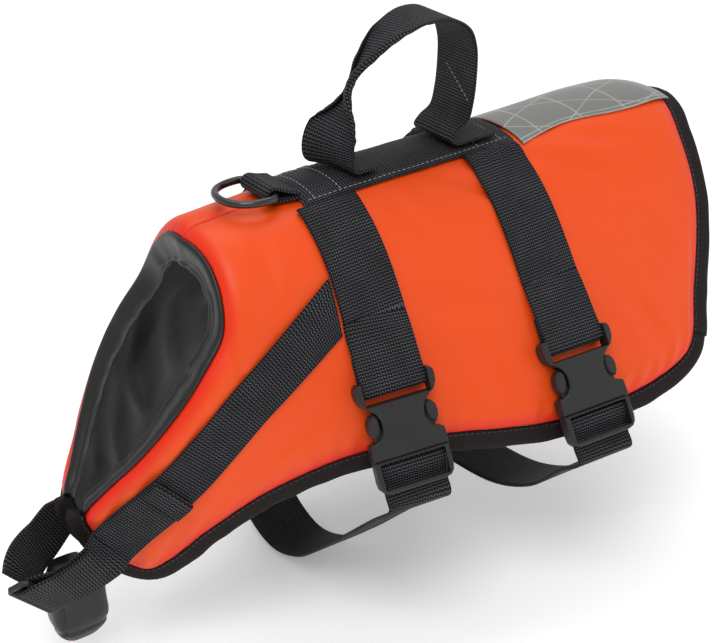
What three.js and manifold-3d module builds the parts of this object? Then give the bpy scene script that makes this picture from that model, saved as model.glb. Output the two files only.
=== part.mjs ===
// Dog life jacket, worn form with no wearer. Millimetres, +X to the tail, -Y to the dog's left, +Z up.
// The origin is on the inner face of the back, under the middle of the handle.
import * as THREE from 'three';
import { mergeVertices } from 'three/addons/utils/BufferGeometryUtils.js';
import Module from 'manifold-3d';

const wasm = await Module();
wasm.setup();

// Driving dimensions
const seamGap = 0.4;
const panelBack = 4; // panel wall below the reference surface
const panelPuff = 7.5; // how far the foam stands proud of that surface
const puffRun = 24; // distance from an edge over which the foam rises
const liningThickness = 1.6;
const backInnerZ = -(panelBack + seamGap + liningThickness);
const girthWebWidth = 39;
const webThickness = 1.8;
const bandClear = 0.8; // between a band and what it lies on
const chestWebWidth = 28;
const bindingWidth = 11;
const bindingThickness = 5;
const handleMiddleX = 0;
const spineWebHalf = 20;
const strapTop = spineWebHalf + 0.4;
const strapStep = 9; // between two rows of a strap on the panel
const sideFoot = 100; // the hem lies further down the side than this

// Sections across the back: height of the spine, shoulder size and flare of the side, for each station.
const sections = [
  { x: -245, spine: -8, shoulder: 5, flare: 90 },
  { x: -205, spine: -7, shoulder: 43, flare: 101 },
  { x: -150, spine: -5, shoulder: 46, flare: 88 },
  { x: -67, spine: 2, shoulder: 35, flare: 67 },
  { x: 53, spine: 5, shoulder: 41, flare: 60 },
  { x: 150, spine: 10, shoulder: 45, flare: 60 },
  { x: 215, spine: 8, shoulder: 45, flare: 60 },
];

// Outline of one side panel: x along the back, s down the surface from the spine.
const neckEdge = [
  { x: -148, s: 0 },
  { x: -146, s: 22 },
  { x: -147, s: 45 },
  { x: -152, s: 67 },
  { x: -166, s: 84 },
  { x: -186, s: 108 },
  { x: -206, s: 133 },
  { x: -220, s: 147 },
  { x: -229, s: 156 },
];
const frontEdge = [
  { x: -229, s: 156 },
  { x: -226, s: 170 },
  { x: -218, s: 190 },
  { x: -208, s: 206 },
  { x: -197, s: 213 },
];
const hemEdge = [
  { x: -197, s: 213 },
  { x: -186, s: 205 },
  { x: -168, s: 185 },
  { x: -142, s: 169 },
  { x: -106, s: 161 },
  { x: -72, s: 162 },
  { x: -36, s: 168 },
  { x: 0, s: 178 },
  { x: 36, s: 186 },
  { x: 84, s: 189 },
  { x: 115, s: 187 },
  { x: 136, s: 181 },
  { x: 147, s: 170 },
];
const rearEdge = [
  { x: 209, s: 0 },
  { x: 203, s: 20 },
  { x: 193, s: 47 },
  { x: 184, s: 86 },
  { x: 172, s: 116 },
  { x: 157, s: 146 },
  { x: 147, s: 170 },
];

const degrees = Math.PI / 180;
const { clamp, lerp } = THREE.MathUtils;
const left = -1;
const right = 1;

// Smooth value of one column at x, through uneven rows.
function columnAt(rows, column, x) {
  const last = rows.length - 2;
  let i = 0;
  while (i < last && x > rows[i + 1].x) i += 1;
  const a = rows[i];
  const b = rows[i + 1];
  const slope = (p, q) => (q[column] - p[column]) / (q.x - p.x);
  const before = i > 0 ? slope(rows[i - 1], b) : slope(a, b);
  const after = i < last ? slope(a, rows[i + 2]) : slope(a, b);
  const width = b.x - a.x;
  const t = clamp((x - a.x) / width, -0.3, 1.3);
  const h = t * t * (3 - 2 * t);
  const rise = t * (1 - t) * (1 - t) * before - t * t * (1 - t) * after;
  return a[column] + h * (b[column] - a[column]) + rise * width;
}

// Point of the reference surface, s down the near side (left) or the far side (right).
const sectionSteps = 48;
const shoulderPower = 1.4;
function surfacePoint(x, s, side) {
  const spine = columnAt(sections, 'spine', x);
  const shoulder = columnAt(sections, 'shoulder', x);
  const flare = columnAt(sections, 'flare', x) * degrees;
  const step = s / sectionSteps;
  let y = 0;
  let z = spine;
  for (let i = 0; i < sectionSteps; i += 1) {
    const along = Math.abs((i + 0.5) * step);
    const turn = flare * (1 - Math.exp(-((along / shoulder) ** shoulderPower)));
    y += Math.cos(turn) * step;
    z -= Math.sin(turn) * Math.abs(step);
  }
  return new THREE.Vector3(x, side * y, z);
}

// Surface directions at a node: along the back, down the side and outwards.
function surfaceFrame(x, s, side) {
  const reach = 0.5;
  const along = surfacePoint(x + reach, s, side).sub(surfacePoint(x - reach, s, side));
  along.divideScalar(2 * reach);
  const down = surfacePoint(x, s + reach, side).sub(surfacePoint(x, s - reach, side));
  down.divideScalar(2 * reach);
  const out = new THREE.Vector3().crossVectors(along, down).multiplyScalar(side).normalize();
  return { along, down, out };
}

function liftedPoint(x, s, side, lift) {
  const { out } = surfaceFrame(x, s, side);
  return surfacePoint(x, s, side).addScaledVector(out, lift);
}

// Outline of the panel in the flat, as one curve from the spine round to the spine again
const outlineRows = [...neckEdge, ...frontEdge.slice(1), ...hemEdge.slice(1),
  ...rearEdge.toReversed().slice(1)];
const outline = new THREE.SplineCurve(outlineRows.map((row) => new THREE.Vector2(row.x, row.s)));
const rowSteps = 30;
outline.arcLengthDivisions = rowSteps * (outlineRows.length - 1);
const outlineLengths = outline.getLengths();
const outlineLength = outline.getLength();
const shareOf = (rowIndex) => outlineLengths[rowIndex * rowSteps] / outlineLength;
const neckCorner = shareOf(neckEdge.length - 1);
const frontTip = shareOf(neckEdge.length + frontEdge.length - 2);
const rearCorner = shareOf(neckEdge.length + frontEdge.length + hemEdge.length - 3);
const outlineSamples = outline.getSpacedPoints(240);

// Node of the panel: u from the neck to the rear edge, v from the spine to the hem.
function panelNode(u, v) {
  const front = outline.getPointAt(lerp(0, frontTip, v));
  const back = outline.getPointAt(lerp(1, rearCorner, v));
  const low = outline.getPointAt(lerp(frontTip, rearCorner, u));
  const top = outline.getPoint(0).lerp(outline.getPoint(1), u);
  const topCorner = top.clone();
  const lowCorner = outline.getPointAt(frontTip).lerp(outline.getPointAt(rearCorner), u);
  const node = top.multiplyScalar(1 - v).addScaledVector(low, v);
  node.addScaledVector(front, 1 - u).addScaledVector(back, u);
  node.addScaledVector(topCorner, v - 1).addScaledVector(lowCorner, -v);
  return { x: node.x, s: Math.max(node.y, 0) };
}

// Distance from the panel's outline, negative outside it
function edgeDistance(x, s) {
  let nearest = Infinity;
  let inside = true;
  for (let i = 0; i < outlineSamples.length - 1; i += 1) {
    const a = outlineSamples[i];
    const distance = Math.hypot(a.x - x, a.y - s);
    if (distance < nearest) {
      const b = outlineSamples[i + 1];
      nearest = distance;
      inside = (b.x - a.x) * (s - a.y) - (b.y - a.y) * (x - a.x) < 0;
    }
  }
  return inside ? nearest : -nearest;
}

// Quarter-round rise from 0 to 1 over a run
function roundRise(distance, run) {
  const t = clamp(distance / run, 0, 1);
  return Math.sqrt(1 - (1 - t) * (1 - t));
}

// Height of the foam: full inside, falling in a round shoulder to the edges and a little to the spine seam.
const spineValley = 3;
const valleyRun = 12;
function foamLift(x, s) {
  const valley = spineValley * (1 - roundRise(s, valleyRun));
  return Math.max(0, panelPuff - valley) * roundRise(edgeDistance(x, s), puffRun);
}

// Closed bodies
function closedGeometry(positions, indices) {
  let volume = 0;
  const corner = (i) => new THREE.Vector3().fromArray(positions, 3 * i);
  for (let i = 0; i < indices.length; i += 3) {
    const [a, b, c] = [corner(indices[i]), corner(indices[i + 1]), corner(indices[i + 2])];
    volume += a.dot(b.cross(c));
  }
  if (volume < 0) {
    for (let i = 0; i < indices.length; i += 3) {
      [indices[i + 1], indices[i + 2]] = [indices[i + 2], indices[i + 1]];
    }
  }
  const geometry = new THREE.BufferGeometry();
  geometry.setAttribute('position', new THREE.Float32BufferAttribute(positions, 3));
  geometry.setIndex(indices);
  return geometry;
}

// Wall between two grids of points with the same rows and columns
function wallGeometry(upper, lower) {
  const rows = upper.length;
  const columns = upper[0].length;
  const positions = [];
  for (const grid of [upper, lower]) {
    for (const row of grid) {
      for (const point of row) positions.push(point.x, point.y, point.z);
    }
  }
  const at = (layer, i, j) => layer * rows * columns + i * columns + j;
  const indices = [];
  const quad = (a, b, c, d) => indices.push(a, b, c, a, c, d);
  for (let i = 0; i < rows - 1; i += 1) {
    for (let j = 0; j < columns - 1; j += 1) {
      quad(at(0, i, j), at(0, i + 1, j), at(0, i + 1, j + 1), at(0, i, j + 1));
      quad(at(1, i, j), at(1, i, j + 1), at(1, i + 1, j + 1), at(1, i + 1, j));
    }
  }
  for (let i = 0; i < rows - 1; i += 1) {
    quad(at(0, i, 0), at(1, i, 0), at(1, i + 1, 0), at(0, i + 1, 0));
    const j = columns - 1;
    quad(at(0, i, j), at(0, i + 1, j), at(1, i + 1, j), at(1, i, j));
  }
  for (let j = 0; j < columns - 1; j += 1) {
    quad(at(0, 0, j), at(0, 0, j + 1), at(1, 0, j + 1), at(1, 0, j));
    const i = rows - 1;
    quad(at(0, i, j), at(1, i, j), at(1, i, j + 1), at(0, i, j + 1));
  }
  return closedGeometry(positions, indices);
}

// Rod of one closed profile carried along frames of { at, across, up }
function sweptGeometry(frames, profile) {
  const positions = [];
  for (const { at, across, up } of frames) {
    for (const [b, n] of profile) {
      const point = at.clone().addScaledVector(across, b).addScaledVector(up, n);
      positions.push(point.x, point.y, point.z);
    }
  }
  const sides = profile.length;
  const indices = [];
  for (let i = 0; i < frames.length - 1; i += 1) {
    for (let j = 0; j < sides; j += 1) {
      const next = (j + 1) % sides;
      const [a, b] = [i * sides + j, i * sides + next];
      const [c, d] = [(i + 1) * sides + next, (i + 1) * sides + j];
      indices.push(a, b, c, a, c, d);
    }
  }
  const end = (frames.length - 1) * sides;
  for (let j = 1; j < sides - 1; j += 1) {
    indices.push(0, j + 1, j, end, end + j, end + j + 1);
  }
  return closedGeometry(positions, indices);
}

function toManifold(geometry) {
  const bare = geometry.clone();
  bare.deleteAttribute('normal');
  bare.deleteAttribute('uv');
  const merged = mergeVertices(bare, 1e-4);
  return new wasm.Manifold(new wasm.Mesh({
    numProp: 3,
    vertProperties: new Float32Array(merged.attributes.position.array),
    triVerts: new Uint32Array(merged.index.array),
  }));
}

function fromManifold(solid) {
  const mesh = solid.getMesh();
  const geometry = new THREE.BufferGeometry();
  geometry.setAttribute('position', new THREE.BufferAttribute(mesh.vertProperties, 3));
  geometry.setIndex(new THREE.BufferAttribute(mesh.triVerts, 1));
  return geometry;
}

// Materials
const material = (color, roughness) =>
  new THREE.MeshStandardMaterial({ color, roughness, metalness: 0 });
const coatedOrange = material('#e8541a', 0.4);
const liningBlack = material('#151517', 0.8);
const bindingBlack = material('#1b1516', 0.7);
const webbingBlack = material('#141416', 0.85);
const tapeGrey = material('#7c7d78', 0.35);
const mouldedBlack = material('#2a2b2a', 0.45);
const ringBlack = material('#1c1c1e', 0.3);

const jacket = new THREE.Group();
jacket.position.set(-handleMiddleX, 0, -(columnAt(sections, 'spine', handleMiddleX) + backInnerZ));

function addPiece(name, geometry, finish) {
  const mesh = new THREE.Mesh(geometry, finish);
  mesh.name = name;
  jacket.add(mesh);
}

// Side panels and their lining, on the same nodes
// The nodes stand closer at the edges and over the shoulder, where the surface turns.
const edgeShares = [0, 0.01, 0.03, 0.06];
const middleColumns = 22;
const columnShares = [...edgeShares, ...edgeShares.toReversed().map((share) => 1 - share)];
for (let i = 1; i < middleColumns; i += 1) {
  columnShares.splice(edgeShares.length + i - 1, 0, lerp(0.06, 0.94, i / middleColumns));
}
const rowShares = [0, 0.03, 0.07, 0.12, 0.18, 0.25, 0.33, 0.42, 0.52, 0.63, neckCorner / frontTip, 0.83, 0.91,
  0.97, 1];
const cornerRow = rowShares.indexOf(neckCorner / frontTip);
const panelNodes = columnShares.map((u) => rowShares.map((v) => panelNode(u, v)));

function panelGrid(side, liftOf) {
  return panelNodes.map((column) => column.map(({ x, s }, j) => {
    const point = liftedPoint(x, s, side, liftOf(x, s));
    if (j === 0) point.y = side * seamGap / 2;
    return point;
  }));
}

for (const [word, side] of [['left', left], ['right', right]]) {
  const inner = -panelBack - seamGap;
  addPiece(`panel_${word}`,
    wallGeometry(panelGrid(side, foamLift), panelGrid(side, () => -panelBack)), coatedOrange);
  addPiece(`lining_${word}`,
    wallGeometry(panelGrid(side, () => inner), panelGrid(side, () => inner - liningThickness)),
    liningBlack);
}

// Edge bindings: a rounded band that runs just outside the panel's edge. The neck's is turned inwards.
const bindingProfile = [
  [seamGap, -bindingThickness],
  [bindingWidth * 0.75, -bindingThickness],
  [bindingWidth, -bindingThickness * 0.6],
  [bindingWidth, -0.4],
  [bindingWidth * 0.75, 0.8],
  [seamGap, 0.8],
];
const tailWider = 1.6; // the tail's binding is wider than the hem's
const tailProfile = bindingProfile.map(([b, n]) => [b > seamGap ? b + tailWider : b, n]);
const neckProfile = [
  [seamGap, -15],
  [2.4, -15.4],
  [4.6, -10],
  [6, -4],
  [4.8, -0.6],
  [seamGap, 0.8],
];
const neckEase = 0.45; // height of the neck's binding at the front tip, as a share of its full height

function edgeFrame(side, share) {
  const node = outline.getPointAt(share);
  const tangent = outline.getTangentAt(share);
  const { along, down, out } = surfaceFrame(node.x, node.y, side);
  const run = along.multiplyScalar(tangent.x).addScaledVector(down, tangent.y).normalize();
  const across = new THREE.Vector3().crossVectors(run, out).multiplyScalar(-side).normalize();
  return { at: surfacePoint(node.x, node.y, side), across, up: out };
}

// Frames over the spine, from a corner on the near side to the same corner on the far side
function overSpine(shares) {
  const near = shares.slice(1).toReversed().map((share) => edgeFrame(left, share));
  const far = shares.slice(1).map((share) => edgeFrame(right, share));
  return [...near, edgeFrame(left, shares[0]), ...far];
}

// The bindings bend at the panel's own nodes, and stop just short of each other.
const joinClear = seamGap / 2 / outlineLength;
const frontShares = rowShares.map((v) => lerp(0, frontTip, v));
const lowShares = columnShares.map((u) => lerp(frontTip, rearCorner, u));
const backShares = rowShares.map((v) => lerp(1, rearCorner, v));
const neckShares = [...frontShares.slice(0, cornerRow), neckCorner - joinClear];
const hemShares = [neckCorner + joinClear, ...frontShares.slice(cornerRow + 1), ...lowShares.slice(1, -1),
  rearCorner - joinClear];
const rearShares = [...backShares.slice(0, -1), rearCorner + joinClear];
const neckFrames = overSpine(neckShares);
neckFrames.forEach((frame, i) => {
  const towardTip = Math.abs(2 * i / (neckFrames.length - 1) - 1);
  frame.up.multiplyScalar(lerp(1, neckEase, clamp(2 * towardTip - 1, 0, 1)));
});
addPiece('binding_neck', sweptGeometry(neckFrames, neckProfile), bindingBlack);
addPiece('binding_rear', sweptGeometry(overSpine(rearShares), tailProfile), bindingBlack);
for (const [word, side] of [['left', left], ['right', right]]) {
  const frames = hemShares.map((share) => edgeFrame(side, share));
  addPiece(`binding_hem_${word}`, sweptGeometry(frames, bindingProfile), bindingBlack);
}

// Webbing: rows of points across the band, each row with its own lower and upper face.
const bandColumns = 2;
function bandRow(pointAt) {
  const lower = [];
  const upper = [];
  for (let k = 0; k <= bandColumns; k += 1) {
    const [low, high] = pointAt(k / bandColumns - 0.5);
    lower.push(low);
    upper.push(high);
  }
  return { lower, upper };
}

const bandGeometry = (rows) => wallGeometry(rows.map((row) => row.upper), rows.map((row) => row.lower));

// Height of a band's lower face: it bridges the foam's round edge and rests on the binding.
const bindingTop = 0.8;
const bandEase = 8;
function bandSeat(x, s) {
  const foam = panelPuff * roundRise(edgeDistance(x, s) + bandEase, puffRun);
  return Math.max(bindingTop, foam) + bandClear;
}

// Direction across a band that runs along (dx, ds) on the panel
function acrossInPanel(x, s, side, dx, ds) {
  const { along, down, out } = surfaceFrame(x, s, side);
  const run = along.clone().multiplyScalar(dx).addScaledVector(down, ds);
  const across = new THREE.Vector3().crossVectors(out, run).normalize();
  const [aa, ad, dd] = [along.dot(along), along.dot(down), down.dot(down)];
  const [ra, rd] = [across.dot(along), across.dot(down)];
  const det = aa * dd - ad * ad;
  return new THREE.Vector2((ra * dd - rd * ad) / det, (rd * aa - ra * ad) / det);
}

// Row of a band that lies on the panel; q is the step across it in panel units for each millimetre.
function panelRow(x, s, side, q, width, lift = 0) {
  return bandRow((k) => {
    const nodeX = x + q.x * k * width;
    const nodeS = s + q.y * k * width;
    const { out } = surfaceFrame(nodeX, nodeS, side);
    const foot = surfacePoint(nodeX, nodeS, side).addScaledVector(out, bandSeat(nodeX, nodeS) + lift);
    return [foot, foot.clone().addScaledVector(out, webThickness)];
  });
}

// Row of a band that hangs free, around a middle line
function freeRow(at, across, up, width, thickness = webThickness) {
  return bandRow((k) => {
    const middle = at.clone().addScaledVector(across, k * width);
    const low = middle.clone().addScaledVector(up, -thickness / 2);
    return [low, middle.addScaledVector(up, thickness / 2)];
  });
}

// Rows along a smooth middle line. Each control has at, across and, where it changes, width and thickness.
function freeRows(controls, count, width, firstUp) {
  const line = new THREE.CatmullRomCurve3(controls.map((control) => control.at), false, 'centripetal');
  const rows = [];
  let lastUp = firstUp.clone();
  for (let i = 0; i <= count; i += 1) {
    const t = i / count;
    const place = t * (controls.length - 1);
    const k = Math.min(Math.floor(place), controls.length - 2);
    const [a, b] = [controls[k], controls[k + 1]];
    const across = a.across.clone().lerp(b.across, place - k);
    const tangent = line.getTangent(t);
    across.addScaledVector(tangent, -across.dot(tangent)).normalize();
    const up = new THREE.Vector3().crossVectors(tangent, across).normalize();
    if (up.dot(lastUp) < 0) up.negate();
    lastUp = up;
    const mixed = (key, usual) =>
      lerp(a[key] ?? usual, b[key] ?? usual, place - k);
    rows.push(freeRow(line.getPoint(t), across, up, mixed('width', width), mixed('thickness', webThickness)));
  }
  return rows;
}

// Middle line of a row, used to run on from it
const rowMiddle = ({ lower, upper }) =>
  lower[bandColumns / 2].clone().lerp(upper[bandColumns / 2], 0.5);
const rowAcross = ({ lower }) => lower[bandColumns].clone().sub(lower[0]).normalize();
const rowUp = ({ lower, upper }) => upper[bandColumns / 2].clone().sub(lower[bandColumns / 2]).normalize();

// Side-release buckle, in its own axes: x across, y down the strap, z out of the panel.
const buckleThickness = 9.5;
const bodyLength = 45;
const insertLength = 20;
const frameInside = 40;
const barRadius = 1.5;
const barAt = { y: 5.6, z: 4 };
const slotEnd = 13.5;
const cavity = { from: 16.5, low: 2.6, high: 6.9, half: 19.4 };
const edgeBevel = 0.8;

function plate(points, low, high, holes = []) {
  const shape = new THREE.Shape(points.map(([x, y]) => new THREE.Vector2(x, y)));
  shape.holes = holes.map((hole) => new THREE.Path(hole.map(([x, y]) => new THREE.Vector2(x, y))));
  const geometry = new THREE.ExtrudeGeometry(shape, {
    depth: high - low - 2 * edgeBevel,
    bevelThickness: edgeBevel,
    bevelSize: edgeBevel,
    bevelOffset: -edgeBevel,
    bevelSegments: 1,
  });
  return geometry.translate(0, 0, low + edgeBevel);
}

function block(x0, x1, y0, y1, z0, z1) {
  const geometry = new THREE.BoxGeometry(x1 - x0, y1 - y0, z1 - z0);
  return geometry.translate((x0 + x1) / 2, (y0 + y1) / 2, (z0 + z1) / 2);
}

const mirrored = (half) => [...half, ...half.toReversed().map(([x, y]) => [-x, y])];

// Half outlines, from the middle top round to the middle bottom
const bodyHalf = [[22, 0], [23.8, 2], [24.2, 5], [23.8, 9], [21.8, 13], [18, 15.6], [15, 18.4], [13.4, 22],
  [13, 26], [13.8, 30], [16, 33], [19.4, 34.6], [22.4, 35.6], [22.9, 38], [23.2, 45]];
const insertBars = { crossbar: 1.6, endBar: 2.6, rodY: 5.4, rodZ: 3, passDepth: 4, passHeight: 4.6 };
const guideHalf = 3.2; // the insert's middle tongue
const insertHalf = [[22.8, 45.5], [23, 58], [22.4, 61.6], [20.4, 64], [17, 65]];
const prongTip = [[12.6, 34], [13.4, 28], [14.2, 19.4], [16, 18.2], [17.4, 18.6], [18.8, 20.6], [18.8, 36]];
const releaseButton = [[14.6, 21], [16.4, 18.8], [18.6, 19.2], [20.8, 22], [21.4, 25.6], [20.9, 29.2],
  [19.2, 32], [17.6, 31.6], [15.4, 29.4], [14.4, 26]];
const buttonSpan = [1, 8.5];
const rodAcross = (radius, length, y, z) =>
  new THREE.CylinderGeometry(radius, radius, length, 8).rotateZ(Math.PI / 2).translate(0, y, z);

function buckleBody() {
  let solid = toManifold(plate(mirrored(bodyHalf), 0, buckleThickness));
  const half = frameInside / 2;
  solid = solid.subtract(toManifold(block(-half, half, -5, slotEnd, -2, buckleThickness + 2)));
  solid = solid.add(toManifold(rodAcross(barRadius, frameInside + 2, barAt.y, barAt.z)));
  const room = block(-cavity.half, cavity.half, cavity.from, bodyLength + 1, cavity.low, cavity.high);
  solid = solid.subtract(toManifold(room));
  return fromManifold(solid);
}

function buckleInsert() {
  const half = frameInside / 2;
  const base = bodyLength + seamGap;
  const end = bodyLength + insertLength;
  let solid = toManifold(plate(mirrored(insertHalf), 0.6, buckleThickness - 0.4));
  const { crossbar, endBar, rodY, rodZ, passDepth, passHeight } = insertBars;
  const window = block(-half, half, base + crossbar, end - endBar, -2, buckleThickness + 2);
  solid = solid.subtract(toManifold(window));
  solid = solid.subtract(toManifold(block(-half, half, end - passDepth, end + 2, -2, passHeight)));
  solid = solid.add(toManifold(rodAcross(barRadius, frameInside + 2, base + rodY, rodZ)));
  const [low, high] = [cavity.low + seamGap, cavity.high - seamGap];
  solid = solid.add(toManifold(block(-guideHalf, guideHalf, cavity.from + 4, base + 1, low, high)));
  for (const x of [-1, 1]) {
    const prong = [[12, base + 1], ...prongTip, [17.6, base + 1]].map(([px, py]) => [x * px, py]);
    const button = releaseButton.map(([px, py]) => [x * px, py]);
    solid = solid.add(toManifold(plate(prong, low, high)));
    solid = solid.add(toManifold(plate(button, ...buttonSpan)));
  }
  return fromManifold(solid);
}

// Node of a row's middle line, used to run on from it
const rowControl = (row) => ({ at: rowMiddle(row), across: rowAcross(row) });

// Place of each buckle: node of its top edge on the near panel
const buckleRise = 1.5;
const girths = [
  { word: 'front', x: -64, spineX: -67, top: 122 },
  { word: 'rear', x: 52, spineX: 51, top: 139 },
];

function buckleMatrix({ x, top }) {
  const { along, down, out } = surfaceFrame(x, top + bodyLength / 2, left);
  const across = along.clone().addScaledVector(down, -along.dot(down)).normalize();
  const base = liftedPoint(x, top, left, foamLift(x, top) + buckleRise);
  const slide = new THREE.Vector3().crossVectors(out, across).normalize();
  if (slide.dot(down) < 0) slide.negate();
  if (new THREE.Vector3().crossVectors(across, slide).dot(out) < 0) across.negate();
  return new THREE.Matrix4().makeBasis(across, slide, out).setPosition(base);
}

const inBuckle = (matrix, y, z) => new THREE.Vector3(0, y, z).applyMatrix4(matrix);

// Distance down the side at which the hem lies, at x
function hemAt(x) {
  let best = outlineSamples[0];
  for (const point of outlineSamples) {
    if (point.y > sideFoot && Math.abs(point.x - x) < Math.abs(best.x - x)) best = point;
  }
  return best.y;
}

// Rows down a vertical strap on the panel, from its place beside the spine to its place at the buckle
function downRows(girth, side, from, to) {
  const count = Math.round((to - from) / strapStep);
  const rows = [];
  for (let i = 0; i <= count; i += 1) {
    const s = lerp(from, to, i / count);
    const x = lerp(girth.spineX, girth.x, clamp((s - from) / (girth.top - loopLead - from), 0, 1));
    rows.push(panelRow(x, s, side, { x: 1, y: 0 }, girthWebWidth));
  }
  return rows;
}

// Slack run under the belly: y and z of the middle line, from the far hem to the near buckle.
const bellyRuns = {
  front: [[104, -152], [100, -185], [84, -220], [60, -246], [30, -256], [-2, -246], [-34, -221], [-66, -192],
    [-90, -170]],
  rear: [[124, -152], [118, -172], [98, -190], [62, -202], [20, -208], [-24, -208], [-62, -202], [-96, -186],
    [-122, -162]],
};
// Webbing round the bar of the buckle body and through the insert: y and z in the buckle's axes.
const bodyLoop = [[-27, 1.9], [-18, 3.5], [-8, 4.9], [0, 6.3], [5.6, 6.9], [7.7, 6.1], [8.5, 4], [7.7, 1.9],
  [5.6, 1.2], [-4, 1.2], [-14, 1.2]];
const insertRun = [[75, 1.6], [67, 1.8], [63, 2.1], [58.4, 3.9], [54.6, 6], [50.8, 6.5], [48.6, 5.4],
  [48.2, 3.4]];
const loopLead = 36; // how far above the buckle the strap leaves the panel
const loopRows = 44;
const bellyRows = 64;

// Near strap: down the panel and round the bar of the buckle body
function nearStrap(girth, matrix, across) {
  const nearRows = downRows(girth, left, strapTop, girth.top - loopLead);
  const nearEnd = nearRows.at(-1);
  const lean = rowAcross(nearEnd).dot(across) < 0 ? -1 : 1;
  const turned = across.clone().multiplyScalar(lean);
  const controls = [rowControl(nearEnd),
    ...bodyLoop.map(([y, z]) => ({ at: inBuckle(matrix, y, z), across: turned }))];
  const loop = freeRows(controls, loopRows, girthWebWidth, rowUp(nearEnd)).slice(1);
  return bandGeometry([...nearRows, ...loop]);
}

// Far strap: down the far panel, under the belly and through the buckle insert, all one webbing
function farStrap(girth, matrix, across) {
  const farRows = downRows(girth, right, strapTop, hemAt(girth.x) + bindingWidth + 2);
  const farEnd = farRows.at(-1);
  const way = new THREE.Vector3(1, 0, 0);
  const turned = across.clone().multiplyScalar(across.dot(way) < 0 ? -1 : 1);
  const controls = [rowControl(farEnd),
    ...bellyRuns[girth.word].map(([y, z]) => ({ at: new THREE.Vector3(girth.x, y, z), across: way })),
    ...insertRun.map(([y, z]) => ({ at: inBuckle(matrix, y, z), across: turned }))];
  const belly = freeRows(controls, bellyRows, girthWebWidth, rowUp(farEnd)).slice(1);
  return bandGeometry([...farRows, ...belly]);
}

for (const girth of girths) {
  const matrix = buckleMatrix(girth);
  const across = new THREE.Vector3().setFromMatrixColumn(matrix, 0);
  addPiece(`buckle_${girth.word}_body`, buckleBody().applyMatrix4(matrix), mouldedBlack);
  addPiece(`buckle_${girth.word}_insert`, buckleInsert().applyMatrix4(matrix), mouldedBlack);
  addPiece(`strap_${girth.word}_left`, nearStrap(girth, matrix, across), webbingBlack);
  addPiece(`girth_strap_${girth.word}`, farStrap(girth, matrix, across), webbingBlack);
}

// Chest strap: up the front of the panel to the girth strap
const chestNodes = [
  { x: -86, s: 75 },
  { x: -104, s: 84 },
  { x: -126, s: 96 },
  { x: -147, s: 109 },
  { x: -166, s: 126 },
  { x: -182, s: 144 },
  { x: -195, s: 158 },
  { x: -205, s: 168 },
  { x: -216, s: 179 },
];
const chestLine = new THREE.SplineCurve(chestNodes.map(({ x, s }) => new THREE.Vector2(x, s)));
const chestCount = 14;
const layerStep = webThickness + seamGap;
const stitchShare = 0.68; // where the upper layer ends, along the panel run
const turnShare = 0.16; // over this share the strap's end turns to the girth strap's edge
const turnStretch = 1.15;

function chestRows(side, from, lift) {
  const rows = [];
  for (let i = Math.round(from * chestCount); i <= chestCount; i += 1) {
    const t = i / chestCount;
    const node = chestLine.getPointAt(t);
    const tangent = chestLine.getTangentAt(t);
    const q = acrossInPanel(node.x, node.y, side, tangent.x, tangent.y);
    q.lerp(new THREE.Vector2(0, Math.sign(q.y) * turnStretch), Math.max(0, 1 - t / turnShare));
    rows.push(panelRow(node.x, node.y, side, q, chestWebWidth, lift));
  }
  return rows;
}

// Place of the slider, at the front of the chest
const sliderAt = new THREE.Vector3(-262.8, -12, -194.2);
const sliderAcross = new THREE.Vector3(0.7, 0, -0.71).normalize();
const sliderRun = new THREE.Vector3(-0.58, 0.58, -0.5718).normalize();
const sliderUp = new THREE.Vector3().crossVectors(sliderAcross, sliderRun).normalize();
const hairpinRadius = 3;
const hairpinAngles = [-90, -45, 0, 45, 90];
const sliderLead = -11;

const sliderPoint = (run, up) =>
  sliderAt.clone().addScaledVector(sliderRun, run).addScaledVector(sliderUp, up);

// Free points between the panel and the slider, for the layer next to the dog
const nearFree = [[-231, -28, -173.5], [-247, -23, -183]];

// Near chest strap: down the panel, round the slider's middle bar and back on top of itself
function nearChestStrap() {
  const base = chestRows(left, 0, 0);
  const end = base.at(-1);
  const across = sliderAcross.clone().multiplyScalar(Math.sign(rowAcross(end).dot(sliderAcross)));
  const outward = rowUp(end).dot(sliderUp) < 0 ? -1 : 1;
  const freePoints = (points, rise) =>
    points.map(([x, y, z]) => ({ at: new THREE.Vector3(x, y - rise, z), across }));
  const bend = hairpinAngles.map((angle) => {
    const [c, n] = [Math.cos(angle * degrees), Math.sin(angle * degrees)];
    return { at: sliderPoint(hairpinRadius * c, outward * hairpinRadius * n), across };
  });
  const tail = chestRows(left, stitchShare, layerStep).reverse();
  const controls = [
    rowControl(end),
    ...freePoints(nearFree, 0),
    { at: sliderPoint(sliderLead, -outward * hairpinRadius), across },
    ...bend,
    { at: sliderPoint(sliderLead, outward * hairpinRadius), across },
    ...freePoints(nearFree.toReversed(), 2 * layerStep),
    rowControl(tail[0]),
  ];
  const free = freeRows(controls, 40, chestWebWidth, rowUp(end)).slice(1, -1);
  const returned = tail.map(({ lower, upper }) => ({ lower: upper, upper: lower }));
  return bandGeometry([...base, ...free, ...returned]);
}

// Far chest strap: down the far panel to the slider's outer bar
const farFree = [[-230, 26.5, -174], [-243, 21.5, -181], [-255, 14.5, -183.5], [-264, 5.5, -185.5],
  [-268, -0.5, -188.5]];
function farChestStrap() {
  const base = chestRows(right, 0, 0);
  const end = base.at(-1);
  const across = sliderAcross.clone().multiplyScalar(Math.sign(rowAcross(end).dot(sliderAcross)));
  const controls = [rowControl(end),
    ...farFree.map(([x, y, z]) => ({ at: new THREE.Vector3(x, y, z), across }))];
  const free = freeRows(controls, 16, chestWebWidth, rowUp(end)).slice(1);
  return bandGeometry([...base, ...free]);
}

addPiece('chest_strap_left', nearChestStrap(), webbingBlack);
addPiece('chest_strap_right', farChestStrap(), webbingBlack);

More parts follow.
